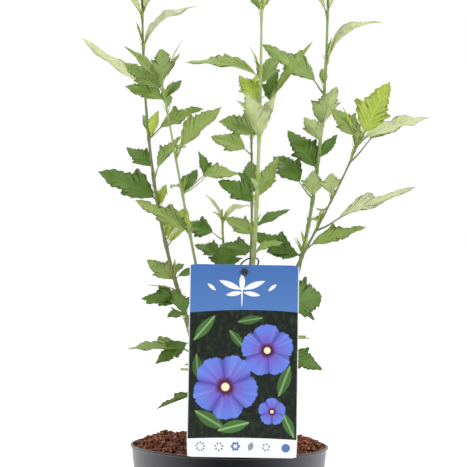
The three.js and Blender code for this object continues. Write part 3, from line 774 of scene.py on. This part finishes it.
# A leaf stalk leaves the stem, bows a little, and runs on under the blade as its midrib.
def stalkShape(cane, item):
    size = stalkSize
    foot, base, basis = bladeFrame(cane, item)
    rows = size["rows"]
    t = np.linspace(0, 1, rows + 1)[:, None]
    bow = size["bow"] * item["stalk"] * np.array([0, 0, -1.0])
    path = foot + (base - foot) * t + bow * 4 * t * (1 - t)
    far = np.linspace(size["underFrom"], size["underTo"], rows) * item["length"]
    under = bendBlade(item, far, 0.0, -size["sink"]) @ basis + base
    path = np.vstack([path[:-1], under])
    radius = np.concatenate([
        np.linspace(size["root"], size["top"], rows),
        np.linspace(size["top"] - 0.02, size["tip"], rows),
    ])
    return tube(path, radius * np.clip(item["length"] / size["full"], 0.65, 1.15), size["sides"])


# Two narrow stipules and sometimes two young blades stand at a node.
def budShapes(cane, item):
    seed = item["seed"] + 0.37
    small = []
    for k in range(2):
        turn = item["turn"] + (55 + 30 * seeded(seed + k)) * (1 if k else -1)
        lift, long = 48 + 25 * seeded(seed + 2 + k), 7 + 6 * seeded(seed + 4 + k)
        small.append(leaf(item["height"] + 0.5, turn, lift, long, width=0.22, stalk=1.0, droop=-15, fold=10))
    for k in range(2 if seeded(seed + 9) > 0.55 else 0):
        turn = item["turn"] + 50 * (seeded(seed + 10 + k) - 0.5)
        lift, long = 68 + 12 * seeded(seed + 12 + k), 11 + 9 * seeded(seed + 14 + k)
        small.append(leaf(item["height"] + 1.5, turn, lift, long, width=0.5, stalk=1.5, droop=10, fold=30))
    return [bladeShape(cane, one, bud=True) for one in small]


# the name of a cane as one word
def camel(name):
    first, *rest = name.split("_")
    return first + "".join(word.title() for word in rest)


for name, cane in canes.items():
    label, look, stand = camel(name), barkLooks[cane["bark"]], [f"shoot_{name}"]
    heights = np.array([item["height"] for item in cane["leaves"]], float)
    foot, tip, split = cane["points"][0][2], cane["points"][3][2], cane["split"]
    if split:
        scars = np.arange(foot + stemSize["scarFrom"], split - stemSize["scarTo"], stemSize["scarStep"])
        scars = scars + stemSize["scarShift"] * seeded(foot + len(name))
        low, high = foot - stemSize["bed"], split + stemSize["overlap"]
        lower = stemShape(cane, low, high, scars, flare=stemSize["flare"])
        pieceOf(f"cane_{label}", lower, [look], [f"cane_{name}"])
    stems = [stemShape(cane, split or foot + 5, tip - 1, heights)]
    stems += [stalkShape(cane, item) for item in cane["leaves"]]
    pieceOf(f"stem_{label}", joined(stems), [look], stand)
    for tone, looks in leafLooks.items():
        blades = [bladeShape(cane, item) for item in cane["leaves"] if item["tone"] == tone]
        if blades:
            pieceOf(f"leaves_{label}_{tone}", joined(blades), looks, stand)
    buds = [shape for item in cane["leaves"] for shape in budShapes(cane, item)]
    pieceOf(f"buds_{label}", joined(buds), leafLooks["bright"], stand)
print("canes and leaves made")

stock = dict(
    x=7, y=4, foot=157.3, top=186, flare=15, waist=9.5, head=12,
    lumps=[(0.09, 8.0, 3.1), (0.05, 3.0, 7.7)],
    roots=5, rootOut=0.10, rounding=0.35, inside=0.97, rings=40, sides=48,
)


# The stock's radius runs through its flare, waist and head; lumps and burrs of bark are pushed out of it.
def stockShape():
    s = stock
    rise = s["top"] - s["foot"]
    height = np.linspace(0, 1, s["rings"])[:, None]
    angle = circle(s["sides"])
    belly, neck = s["flare"] * 0.4 + s["waist"] * 0.6, s["waist"] * 0.3 + s["head"] * 0.7
    radius = np.interp(height, [0, 0.12, 0.42, 0.78, 1], [s["flare"], belly, s["waist"], neck, s["head"]])
    radius = radius * (1 - s["rounding"] * ease(height, 0.9, 1.0))
    burrs = lumps(rings(10, angle, height * rise), s["lumps"])
    roots = s["rootOut"] * np.cos(s["roots"] * angle + 0.7) * (1 - ease(height, 0.0, 0.35))
    radius = radius * (1 + burrs + roots) * s["inside"]
    return skin(rings(radius, angle, s["foot"] + height * rise, s["x"], s["y"]))


pieceOf("rootstock_bark", stockShape(), [barkLooks["wood"]], ["rootstock"])
print("rootstock made")

pot = dict(
    rim=95.0, height=155.0, base=78.0, wall=1.3, lip=2.2, lipReach=1.2,
    footRound=2.5, floorRound=4.0, middle=6.0, floorRows=12, wallFrom=8.0, wallRows=24, sides=160,
    drain=6.0, drains=8, drainSides=28,
)


# outer radius of the wall, which widens evenly from the base up to the lip
def wallRadius(height):
    return pot["base"] + (pot["rim"] - pot["lipReach"] - pot["base"]) * height / pot["height"]


# rounded corner of a profile: points on the curve that leaves a for c and is drawn towards b
def bend(a, b, c, count=6):
    t = np.linspace(0, 1, count)[:, None]
    a, b, c = (np.array(p, float) for p in (a, b, c))
    return (1 - t) ** 2 * a + 2 * t * (1 - t) * b + t ** 2 * c


# The profile runs out under the floor, up the wall, over the lip's small roundings and back inside.
def potShape():
    p = pot
    top, wall, rim, base, foot = p["height"], p["wall"], p["rim"], p["base"], p["footRound"]
    lipFoot = top - p["lip"]
    under, mouth = wallRadius(lipFoot), wallRadius(top) - wall
    heights = np.linspace(p["wallFrom"], lipFoot - 0.6, p["wallRows"])[:, None]
    outer = np.hstack([wallRadius(heights), heights])
    inFoot = p["floorRound"]
    across = np.linspace(p["middle"], base - inFoot, p["floorRows"])
    floor = np.stack([across, np.zeros_like(across)], -1)
    profile = np.vstack([
        floor,
        bend((base - foot, 0), (base, 0), (wallRadius(foot), foot)),
        outer,
        bend((under, lipFoot - 0.3), (under, lipFoot), (rim - 0.4, lipFoot), 4),
        bend((rim - 0.1, lipFoot + 0.3), (rim, lipFoot + 0.5), (rim, lipFoot + 0.9), 4),
        bend((rim, top - 0.8), (rim, top), (rim - 0.9, top), 5),
        bend((mouth + 0.6, top), (mouth, top), (mouth, top - 0.6), 5),
        outer[::-1] - [wall, 0],
        bend((wallRadius(inFoot) - wall, inFoot), (wallRadius(wall) - wall, wall), (across[-1], wall), 5),
        floor[::-1] + [0, wall],
    ])
    return lathe(profile, p["sides"])


# dark moulded plastic under a satin gloss, which is stronger where the wall turns away
def potLook():
    look = Look("pot_plastic")
    place = look.place()
    speck = look.noise(place, 700.0, 2.0, 0.6)
    cloud = look.noise(place, 18.0, 3.0, 0.55)
    height = look.split(place)[2]
    flow = look.noise(look.stretched(place, (40, 40, 400)), 1.0, 2.0, 0.5)
    body = look.blend(cloud.step(0.3, 0.75), tint(6, 7, 8), tint(11, 12, 13))
    dust = look.noise(place, 45.0, 4.0, 0.7).step(0.55, 0.8) * height.step(0.125, 0.155)
    body = look.blend(dust * 0.10, body, tint(110, 100, 90))
    grain = look.bump(speck * 0.5 + flow * 0.5, 0.00012, 0.5)
    plastic = look.surface(
        Base_Color=body, Roughness=speck * 0.12 + cloud * 0.10 + 0.30, Specular_IOR_Level=0.03, Normal=grain)
    gloss = look.surface(Base_Color=tint(131, 131, 134), Metallic=1.0, Roughness=0.45, Normal=grain)
    away = look.node("ShaderNodeLayerWeight", {}, {"Blend": 0.5}, out="Facing")
    return look.finish(look.mixed(away, plastic, gloss))


# drain holes are cut from the floor with a joined set of short rods
def cutDrains(piece):
    angles = (np.arange(pot["drains"]) + 0.5) * turnFull / pot["drains"]
    reach = pot["base"] - 2 * pot["drain"]
    rod = lathe([[pot["drain"], -4], [pot["drain"], 6]], pot["drainSides"])
    rods = [dict(rod, points=rod["points"] + [reach * np.cos(a), reach * np.sin(a), 0]) for a in angles]
    cutter = objectOf("drain_cutter", joined(rods), [])
    cut = piece.modifiers.new("drains", "BOOLEAN")
    cut.operation, cut.object, cut.solver = "DIFFERENCE", cutter, "EXACT"
    shaped = bpy.data.meshes.new_from_object(piece.evaluated_get(bpy.context.evaluated_depsgraph_get()))
    piece.modifiers.clear()
    piece.data = shaped
    bpy.data.objects.remove(cutter)


potPiece = pieceOf("nursery_pot", potShape(), [potLook()], ["pot"])
cutDrains(potPiece)
print("pot made")

# The mix stands in loose clods that hide parts of the rim.
soil = dict(
    edge=152.5, crown=158.0, gap=0.35, level=45, shoulder=12, rimStrip=3.0, rimRise=0.4,
    lumps=[(2.0, 16.0, 1.3), (2.0, 6.5, 5.1), (1.1, 2.6, 9.2)],
    crumbs=1900, fibres=240, crumbTilt=50, crumbLift=0.25, rings=110, sides=220,
)
soilReach = wallRadius(soil["edge"]) - pot["wall"] - soil["gap"]


# the mix is level about its crown and falls away to its edge
def soilHeight(radius):
    edge, crown = soil["edge"], soil["crown"]
    reach = [0, soil["level"], soilReach - soil["shoulder"], soilReach]
    return np.interp(radius, reach, [crown, crown, edge * 0.2 + crown * 0.8, edge])


# its top stands up and down from that in lumps
def soilSurface(x, y):
    return soilHeight(np.hypot(x, y)) + lumps(xyz(x, y, 0.0), soil["lumps"])


# The mix: a lumpy top over a plain body that fills the pot. Rings go from the floor up to the top's middle.
def soilShape():
    angle = circle(soil["sides"])
    radius = soilReach * np.linspace(1, 0.01, soil["rings"])[:, None] ** 0.8
    x, y = radius * np.cos(angle), radius * np.sin(angle)
    top = soilSurface(x, y)
    fade = ease(radius, soilReach - soil["rimStrip"], soilReach)
    top = top * (1 - fade) + fade * np.minimum(top, soil["edge"] + soil["rimRise"])
    height = np.array([pot["wall"] + 0.3, 60, 120, soil["edge"] - 6])[:, None]
    body = rings(wallRadius(height) - pot["wall"] - soil["gap"], angle, height)
    return skin(np.concatenate([body, xyz(x, y, top)]))


# a pair of coordinates turned by an angle for each crumb
def turned(a, b, angle):
    c, s = np.cos(angle)[:, None, None], np.sin(angle)[:, None, None]
    return a * c - b * s, a * s + b * c


# Crumbs: six-sided lumps of three rings each, seeded in place, size and tilt, all worked out at once.
def crumbShape(count, low, high, long, seed):
    n = np.arange(count) + seed
    radius = (wallRadius(soil["edge"]) - 5) * np.sqrt(seeded(n * 1.7))
    angle = turnFull * seeded(n * 2.3 + 1)
    x, y = radius * np.cos(angle), radius * np.sin(angle)
    size = low + (high - low) * seeded(n * 3.1 + 2) ** 2
    spin, tilt = turnFull * seeded(n * 4.7 + 3), np.radians(soil["crumbTilt"]) * (seeded(n * 5.9 + 4) - 0.5)
    stretch = 1 + long * seeded(n * 6.1 + 5)
    longer, slimmer = (size * stretch)[:, None, None], (size / stretch ** 0.5)[:, None, None]
    wide, tall = np.array([[0.62, -0.6], [1.0, 0.0], [0.6, 0.62]]).T[..., None]
    about = circle(6)
    rough = 1 + 0.5 * (seeded(n[:, None, None] * 7.7 + np.arange(3)[:, None] * 13 + np.arange(6) * 3.3) - 0.5)
    px = wide * np.cos(about) * rough * longer
    py = wide * np.sin(about) * rough * slimmer
    px, pz = turned(px, tall * rough * slimmer, tilt)
    px, py = turned(px, py, spin)
    place = xyz(x, y, soilSurface(x, y) + soil["crumbLift"] * size)
    grid = xyz(px, py, pz) + place[:, None, None]
    one = skin(grid[0])
    ends = np.stack([grid[:, 0].mean(1), grid[:, -1].mean(1)], 1)
    points = np.concatenate([grid.reshape(count, -1, 3), ends], 1)
    step = (np.arange(count) * points.shape[1])[:, None, None]
    quads, triangles = (one["quads"] + step).reshape(-1, 4), (one["triangles"] + step).reshape(-1, 3)
    return shapeOf(points.reshape(-1, 3), quads, triangles)


# crumbly brown: light on dark grains, dark patches, and pale specks of bark
def soilLook(name, light, dark, speck):
    look = Look(name)
    place = look.place()
    grain = look.noise(place, 260.0, 5.0, 0.65)
    patch = look.noise(place, 70.0, 3.0, 0.6)
    clod = look.cells(place, 330.0)
    body = look.blend(grain.step(0.40, 0.62), dark, light)
    body = look.blend(patch.step(0.52, 0.72) * 0.55, body, tint(52, 30, 22))
    body = look.blend(look.noise(place, 420.0, 2.0, 0.5).step(0.60, 0.68) * 0.9, body, speck)
    return look.finish(look.surface(
        Base_Color=body, Roughness=grain * 0.1 + 0.85, Specular_IOR_Level=0.2,
        Normal=look.bump(grain * 0.7 - clod * 0.5, 0.0012, 0.9),
    ))


mixLook = soilLook("potting_mix", tint(142, 86, 62), tint(52, 30, 22), tint(196, 144, 110))
crumbLook = soilLook("mix_crumbs", tint(158, 96, 70), tint(48, 28, 20), tint(206, 154, 120))
crumbs = [
    crumbShape(soil["crumbs"], low=0.7, high=3.9, long=0.7, seed=11),
    crumbShape(soil["fibres"], low=0.5, high=1.0, long=5.0, seed=5003),
]
pieceOf("potting_mix", soilShape(), [mixLook], ["potting_soil"])
pieceOf("mix_crumbs", joined(crumbs), [crumbLook], ["potting_soil"], soft=False)
print("potting mix made")

card = dict(
    width=101.0, height=177.0, thick=0.8, lean=8.2, x=11.5, hole=2.3, holeDrop=7.0,
    clear=0.3, corner=2.6, bow=0.5, edge=0.08, webFrom=0.03, rings=16, sides=240,
)
lean = np.radians(card["lean"])
cardFront = pot["rim"] + card["clear"] + card["thick"] / np.cos(lean)
cardBottom = np.array([card["x"], -cardFront, pot["height"]])
cardBasis = np.array([[1, 0, 0], [0, np.sin(lean), np.cos(lean)], [0, -np.cos(lean), np.sin(lean)]])
holeHeight = card["height"] - card["holeDrop"]


# place on the card: x to the right, y up along it, z out of its front
def onCard(x, y, z):
    return xyz(x, y, z) @ cardBasis + cardBottom


# The card's outline about its hole: where the ways out meet its straight sides, with rounded corners.
def cardOutline(way):
    low = np.array([-card["width"] / 2, -holeHeight])
    high = np.array([card["width"] / 2, card["holeDrop"]])
    side = np.abs(np.where(way > 0, high, low))
    outline = way * np.min(side / np.maximum(np.abs(way), 1e-9), -1, keepdims=True)
    # the outline's nearest point to a corner is set on it
    for corner in np.array([(x, y) for x in (low[0], high[0]) for y in (low[1], high[1])]):
        outline[np.argmin(np.linalg.norm(outline - corner, axis=1))] = corner
    middle = np.clip(outline, low + card["corner"], high - card["corner"])
    off = outline - middle
    far = np.linalg.norm(off, axis=1, keepdims=True)
    beyond = (np.abs(off).min(1, keepdims=True) > 0) & (far > card["corner"])
    return np.where(beyond, middle + off / np.maximum(far, 1e-9) * card["corner"], outline)


# The card's face is a web between its hole and its outline: both are rings about the hole at like angles,
# and rows go from one to the other. Front and back share both rings' rims.
def cardShape():
    c = card
    angle = circle(c["sides"])
    way = np.stack([np.cos(angle), np.sin(angle)], -1)
    share = np.concatenate([[0], np.geomspace(c["webFrom"], 1, c["rings"])])[:, None, None]
    face = way * c["hole"] * (1 - share) + cardOutline(way) * share
    x, y = face[..., 0], face[..., 1] + holeHeight
    bow = c["bow"] * ((x / (c["width"] / 2)) ** 2 - 0.5) * (y / c["height"])
    front, back = xyz(x, y, bow), xyz(x, y, bow - c["thick"])
    rim = np.stack([front[-1] - [0, 0, c["edge"]], back[-1] + [0, 0, c["edge"]]])
    inset = 1 - c["edge"] / np.maximum(np.linalg.norm(face[-1], axis=-1, keepdims=True), 1)
    for sheet in (front, back):
        sheet[-1, :, :2] = face[-1] * inset + [0, holeHeight]
    loop = np.concatenate([front, rim, back[::-1], front[:1]])
    made = skin(loop, ends=(False, False))
    made["uv"] = np.stack([loop[..., 0] / c["width"] + 0.5, loop[..., 1] / c["height"]], -1).reshape(-1, 2)
    rows = np.arange(len(loop) - 1) >= len(front) - 1
    made["looks"] = np.repeat(rows.astype(int), loop.shape[1])
    made["points"] = onCard(*made["points"].T)
    return made


# The print in millimetres from the middle of the card's foot. Rows of leaves and sprig are place, length,
# width and turn, and how strong a leaf is. Rows of flowers are place, size and turn. Rows of signs are place
# across, size and the count of teeth.
cardPrint = dict(
    soft=0.2, bandFoot=135.1, footTop=17.8, margin=49.6, dot=3.9, star=1.8,
    leaves=[
        (-36, 118, 15, 5, 50, 0.9), (-30, 34, 16, 6, 150, 0.8),
        (38, 70, 15, 5.5, 70, 0.8), (6, 126, 12, 4, 10, 0.7),
        (-8, 28, 15, 5.5, 15, 1.0), (42, 30, 13, 4.5, 115, 0.9),
        (-42, 82, 12, 4.5, 95, 0.6), (-6, 108, 11, 4, 130, 0.7),
    ],
    flowers=[(27, 42, 13, 2.2), (22, 98, 25, 0.9), (-16, 64, 31, 0.2)],
    sprig=[
        (-13, 158, 11, 2.7, 158), (-2, 160.5, 9, 2.6, 90), (9, 158, 11, 2.7, 22), (-9, 150, 8, 2.1, 190),
        (7, 150, 8, 2.1, -10), (-2, 148, 0.7, 10, 0), (26, 156, 5, 1.6, 40), (-30, 156, 5, 1.6, 140),
    ],
    signs=[(-38, 4.4, 9.0), (-21, 4.0, 7.0), (22, 3.6, 6.0)],
)


# the printed face: a blue head band, a dark planting with three blue flowers, a white foot with small signs
def printLook():
    p = cardPrint
    look = Look("card_print")
    plan = look.plan()
    u, v, _ = look.split(plan)
    x, y = (u - 0.5) * card["width"], v * card["height"]
    cloud = look.noise(plan, 9.0, 3.0, 0.6)
    leafy = look.noise(plan, 26.0, 4.0, 0.65)

    # 0 before a line and 1 past it, over a soft strip
    def past(value, line):
        return value.step(line - p["soft"], line + p["soft"])

    # distance and angle from a point
    def polar(cx, cy, turn=0.0):
        dx, dy = x - cx, y - cy
        return (dx * dx + dy * dy) ** 0.5, dy.calc("ARCTAN2", dx) + turn

    # pointed oval leaf of a given length and width, with its middle at cx, cy
    def leafSpot(cx, cy, long, wide, turn):
        c, s = float(np.cos(np.radians(turn))), float(np.sin(np.radians(turn)))
        a = (x - cx) * (c / long) + (y - cy) * (s / long)
        b = ((y - cy) * (c / wide) - (x - cx) * (s / wide)).calc("ABSOLUTE")
        return 1.0 - (b + a * a).step(0.94, 1.06), b

    # A flower of five broad petals: the rim swings with the angle, the middle is dark red with fine rays.
    def flower(ground, cx, cy, size, turn):
        far, angle = polar(cx, cy, turn)
        ray = look.noise(look.node("ShaderNodeCombineXYZ", {}, {0: angle * 5.0, 1: cx}), 1.6, 2.0, 0.6)
        lobe = (angle * 2.5).calc("COSINE").calc("ABSOLUTE")
        rim = (lobe ** 0.45) * (0.20 * size) + ray * (0.16 * size) + 0.70 * size
        inside = 1.0 - (far / rim).step(0.97, 1.0)
        r = far / size
        petal = look.blend(r.step(0.2, 0.9), tint(112, 90, 190), tint(98, 122, 214))
        petal = look.blend((1.0 - lobe.step(0.0, 0.55)) * 0.75, petal, tint(74, 60, 150))
        petal = look.blend(ray.step(0.5, 0.7) * 0.35, petal, tint(140, 160, 232))
        petal = look.blend(1.0 - (r - ray * 0.30).step(0.02, 0.20), petal, tint(84, 14, 46))
        petal = look.blend(1.0 - r.step(0.10, 0.14), petal, tint(244, 232, 196))
        return look.blend(inside, ground, petal)

    panel = look.blend(leafy.step(0.45, 0.75), tint(14, 20, 16), tint(40, 64, 34))
    panel = look.blend(cloud.step(0.5, 0.8) * 0.6, panel, tint(26, 22, 24))
    for *spot, gain in p["leaves"]:
        mask, b = leafSpot(*spot)
        green = look.blend(b.step(0.0, 0.25), tint(150, 186, 122), tint(70, 112, 56))
        panel = look.blend(mask * gain, panel, green)
    for spot in p["flowers"]:
        panel = flower(panel, *spot)

    white, ink, blue = tint(234, 236, 239), tint(100, 108, 128), tint(86, 116, 178)
    band = look.blend(v.step(0.75, 1.0), tint(78, 119, 180), tint(66, 108, 172))
    for spot in p["sprig"]:
        band = look.blend(leafSpot(*spot)[0], band, white)

    foot = white
    for cx, size, teeth in p["signs"]:
        far, angle = polar(cx, 9.5)
        dots = (angle * teeth).calc("SINE").step(-0.1, 0.1)
        ring = far.step(size * 0.55, size * 0.65) * (1.0 - far.step(size * 0.95, size * 1.05))
        foot = look.blend(ring * dots, foot, ink)
    far, angle = polar(-6, 10)
    star = far - (angle * 6.0).calc("COSINE") * 0.5
    foot = look.blend(past(star, p["star"]) * (1.0 - past(star, p["dot"])), foot, blue)
    foot = look.blend(1.0 - past(polar(40, 9)[0], p["dot"]), foot, blue)
    foot = look.blend(leafSpot(8, 10, 4.2, 2.4, 70)[0] * 0.8, foot, ink)

    # the band's lower edge and the foot's upper edge bow a little
    arch, low = (x - 8.0) * (1 / 58), x * (1 / 50)
    art = look.blend(past(y + arch * arch * 3.2, p["bandFoot"]), panel, band)
    art = look.blend(1.0 - past(y + low * low * 1.3, p["footTop"]), art, foot)
    art = look.blend(past(x.calc("ABSOLUTE"), p["margin"]) * 0.8, art, tint(226, 230, 228))
    scuff = look.noise(plan, 40.0, 2.0, 0.5)
    return look.finish(look.surface(
        Base_Color=art, Roughness=scuff * 0.12 + 0.34, Specular_IOR_Level=0.45,
        Normal=look.bump(scuff, 0.0001, 0.4),
    ))


# plain moulded or printed stuff with a fine even grain
def plainLook(name, low, high, rough, scale):
    look = Look(name)
    grain = look.noise(look.place(), scale, 3.0, 0.6)
    return look.finish(look.surface(
        Base_Color=look.blend(grain, low, high), Roughness=grain * 0.15 + rough, Specular_IOR_Level=0.4,
        Normal=look.bump(grain, 0.0001, 0.5),
    ))


cardBack = plainLook("card_back", tint(226, 230, 228), tint(238, 240, 238), rough=0.4, scale=220.0)
pieceOf("label_card_print", cardShape(), [printLook(), cardBack], ["label_card"], soft=False)
print("label card made")

tie = dict(
    pin=1.5, knob=3.6, strap=0.9, flat=0.8, pinLength=6.0, knobDepth=1.8, half=8.0, rise=12.0, slack=7.0,
    rings=48, sides=8, pinSides=20, knobSides=28,
)


# the tie's oval loop behind the card round the centre cane, whose last ring is its first again
def loopShape():
    t = tie
    hole = onCard(0, holeHeight, 0)
    back = caneAt(canes["centre"], hole[2] + t["rise"]) + [0, t["slack"], 0]
    front = hole + [0, card["thick"] + 2 * t["strap"], 0]
    centre = (front + back) / 2
    reach = back - centre
    away, long = unit(reach), np.linalg.norm(reach)
    angle = np.append(circle(t["rings"]), 0.0)[:, None]
    path = centre + np.cos(angle) * reach + np.sin(angle) * [t["half"], 0, 0]
    out = unit(np.cos(angle) * away * t["half"] + np.sin(angle) * [long, 0, 0])
    turn = circle(t["sides"])[:, None]
    ring = np.cos(turn) * out[:, None] + np.sin(turn) * np.cross([-1, 0, 0], away) * t["flat"]
    loop = skin(path[:, None] + ring * t["strap"], ends=(False, False))
    count = t["rings"] * t["sides"]
    return shapeOf(loop["points"][:count], loop["quads"] % count, loop["triangles"])


# The tie: its loop, a pin through the hole and a domed knob.
def tieShape():
    t = tie
    foot, top, knob = card["clear"], card["clear"] + t["knobDepth"], t["knob"]
    rod = lathe([[t["pin"], top - t["pinLength"]], [t["pin"], foot + 0.2]], t["pinSides"])
    domed = bend((knob * 0.95, foot + 0.5), (knob, top), (knob * 0.3, top), 8)
    head = lathe(np.vstack([[[knob * 0.8, foot]], domed]), t["knobSides"])
    fixed = [dict(part, points=onCard(*(part["points"] + [0, holeHeight, 0]).T)) for part in (rod, head)]
    return joined([loopShape()] + fixed)


tieLook = plainLook("tie_plastic", tint(30, 31, 33), tint(44, 46, 48), rough=0.38, scale=500.0)
pieceOf("label_tie_loop", tieShape(), [tieLook], ["label_tie"])
print("label tie made")

# The room is dimmer behind the camera: its strength runs from front to world as the Y of a direction goes
# from frontFrom to frontTo. The lights' places and sizes are in metres.
studio = dict(
    world=1.0, front=0.14, frontFrom=-0.75, frontTo=0.1, aim=(0, 0, 0.35),
    lights=dict(
        key=dict(place=(1.5, -1.4, 2.1), size=1.0, power=34.0),
        fill=dict(place=(-1.7, -1.3, 1.1), size=1.2, power=12.0),
        top=dict(place=(-0.3, 0.5, 2.6), size=1.0, power=19.0),
    ),
    floorRings=[12000, 4000, 1500, 600, 200], floorSides=96, floorDrop=0.2,
)


# pale floor of one large round sheet
def makeFloor():
    look = Look("studio_floor")
    grain = look.noise(look.place(), 6.0, 2.0, 0.5)
    shade = look.blend(grain, tint(243, 243, 243), tint(250, 250, 250))
    white = (1, 1, 1, 1)
    look.finish(look.surface(Base_Color=shade, Roughness=0.9, Emission_Color=white, Emission_Strength=0.35))
    radius = np.array(studio["floorRings"])[:, None]
    sheet = skin(rings(radius, circle(studio["floorSides"]), -studio["floorDrop"]), ends=(False, True))
    floor = objectOf("studio_floor", sheet, [look], soft=False)


# the room is white, and lights the plant less from behind the camera
def makeWorld():
    look = Look("studio", bpy.data.worlds)
    y = look.split(look.node("ShaderNodeTexCoord", out="Generated"))[1]
    spread = look.node("ShaderNodeMapRange", {}, {
        "Value": y, "From Min": studio["frontFrom"], "From Max": studio["frontTo"],
        "To Min": studio["front"], "To Max": studio["world"],
    })
    strength = spread.calc("MAXIMUM", look.node("ShaderNodeLightPath", out="Is Camera Ray"))
    back = look.node("ShaderNodeBackground", {}, {"Color": (1, 1, 1, 1), "Strength": strength})
    look.node("ShaderNodeOutputWorld", {}, {"Surface": back})
    bpy.context.scene.world = look.owner


# a round soft light that looks at the middle of the plant
def softLight(name, place, size, power):
    data = bpy.data.lights.new(name, "AREA")
    data.shape, data.size, data.energy = "DISK", size, power
    light = bpy.data.objects.new(name, data)
    light.location = place
    light.rotation_euler = (Vector(studio["aim"]) - Vector(place)).to_track_quat("-Z", "Y").to_euler()
    bpy.context.collection.objects.link(light)


makeFloor()
makeWorld()
for name, light in studio["lights"].items():
    softLight(name, **light)

view = dict(place=(0.8, -1900.0, 386.6), pitch=-0.87, roll=0.9, reach=1981.0, frame=467.0, sensor=36.0)
pitch, roll = np.radians(view["pitch"]), np.radians(view["roll"])
level = Vector((1, 0, 0))
upright = Vector((0, -np.sin(pitch), np.cos(pitch)))
right = level * np.cos(roll) + upright * np.sin(roll)
up = upright * np.cos(roll) - level * np.sin(roll)
behind = Vector((0, -np.cos(pitch), -np.sin(pitch)))
cameraData = bpy.data.cameras.new("photo_view")
cameraData.sensor_width = view["sensor"]
cameraData.lens = view["sensor"] * view["reach"] / view["frame"]
camera = bpy.data.objects.new("photo_view", cameraData)
camera.matrix_world = Matrix((
    (right.x, up.x, behind.x, view["place"][0] * mm),
    (right.y, up.y, behind.y, view["place"][1] * mm),
    (right.z, up.z, behind.z, view["place"][2] * mm),
    (0, 0, 0, 1),
))
bpy.context.collection.objects.link(camera)
bpy.context.scene.camera = camera
bpy.context.scene.view_settings.view_transform = "Standard"

print("scene ready")
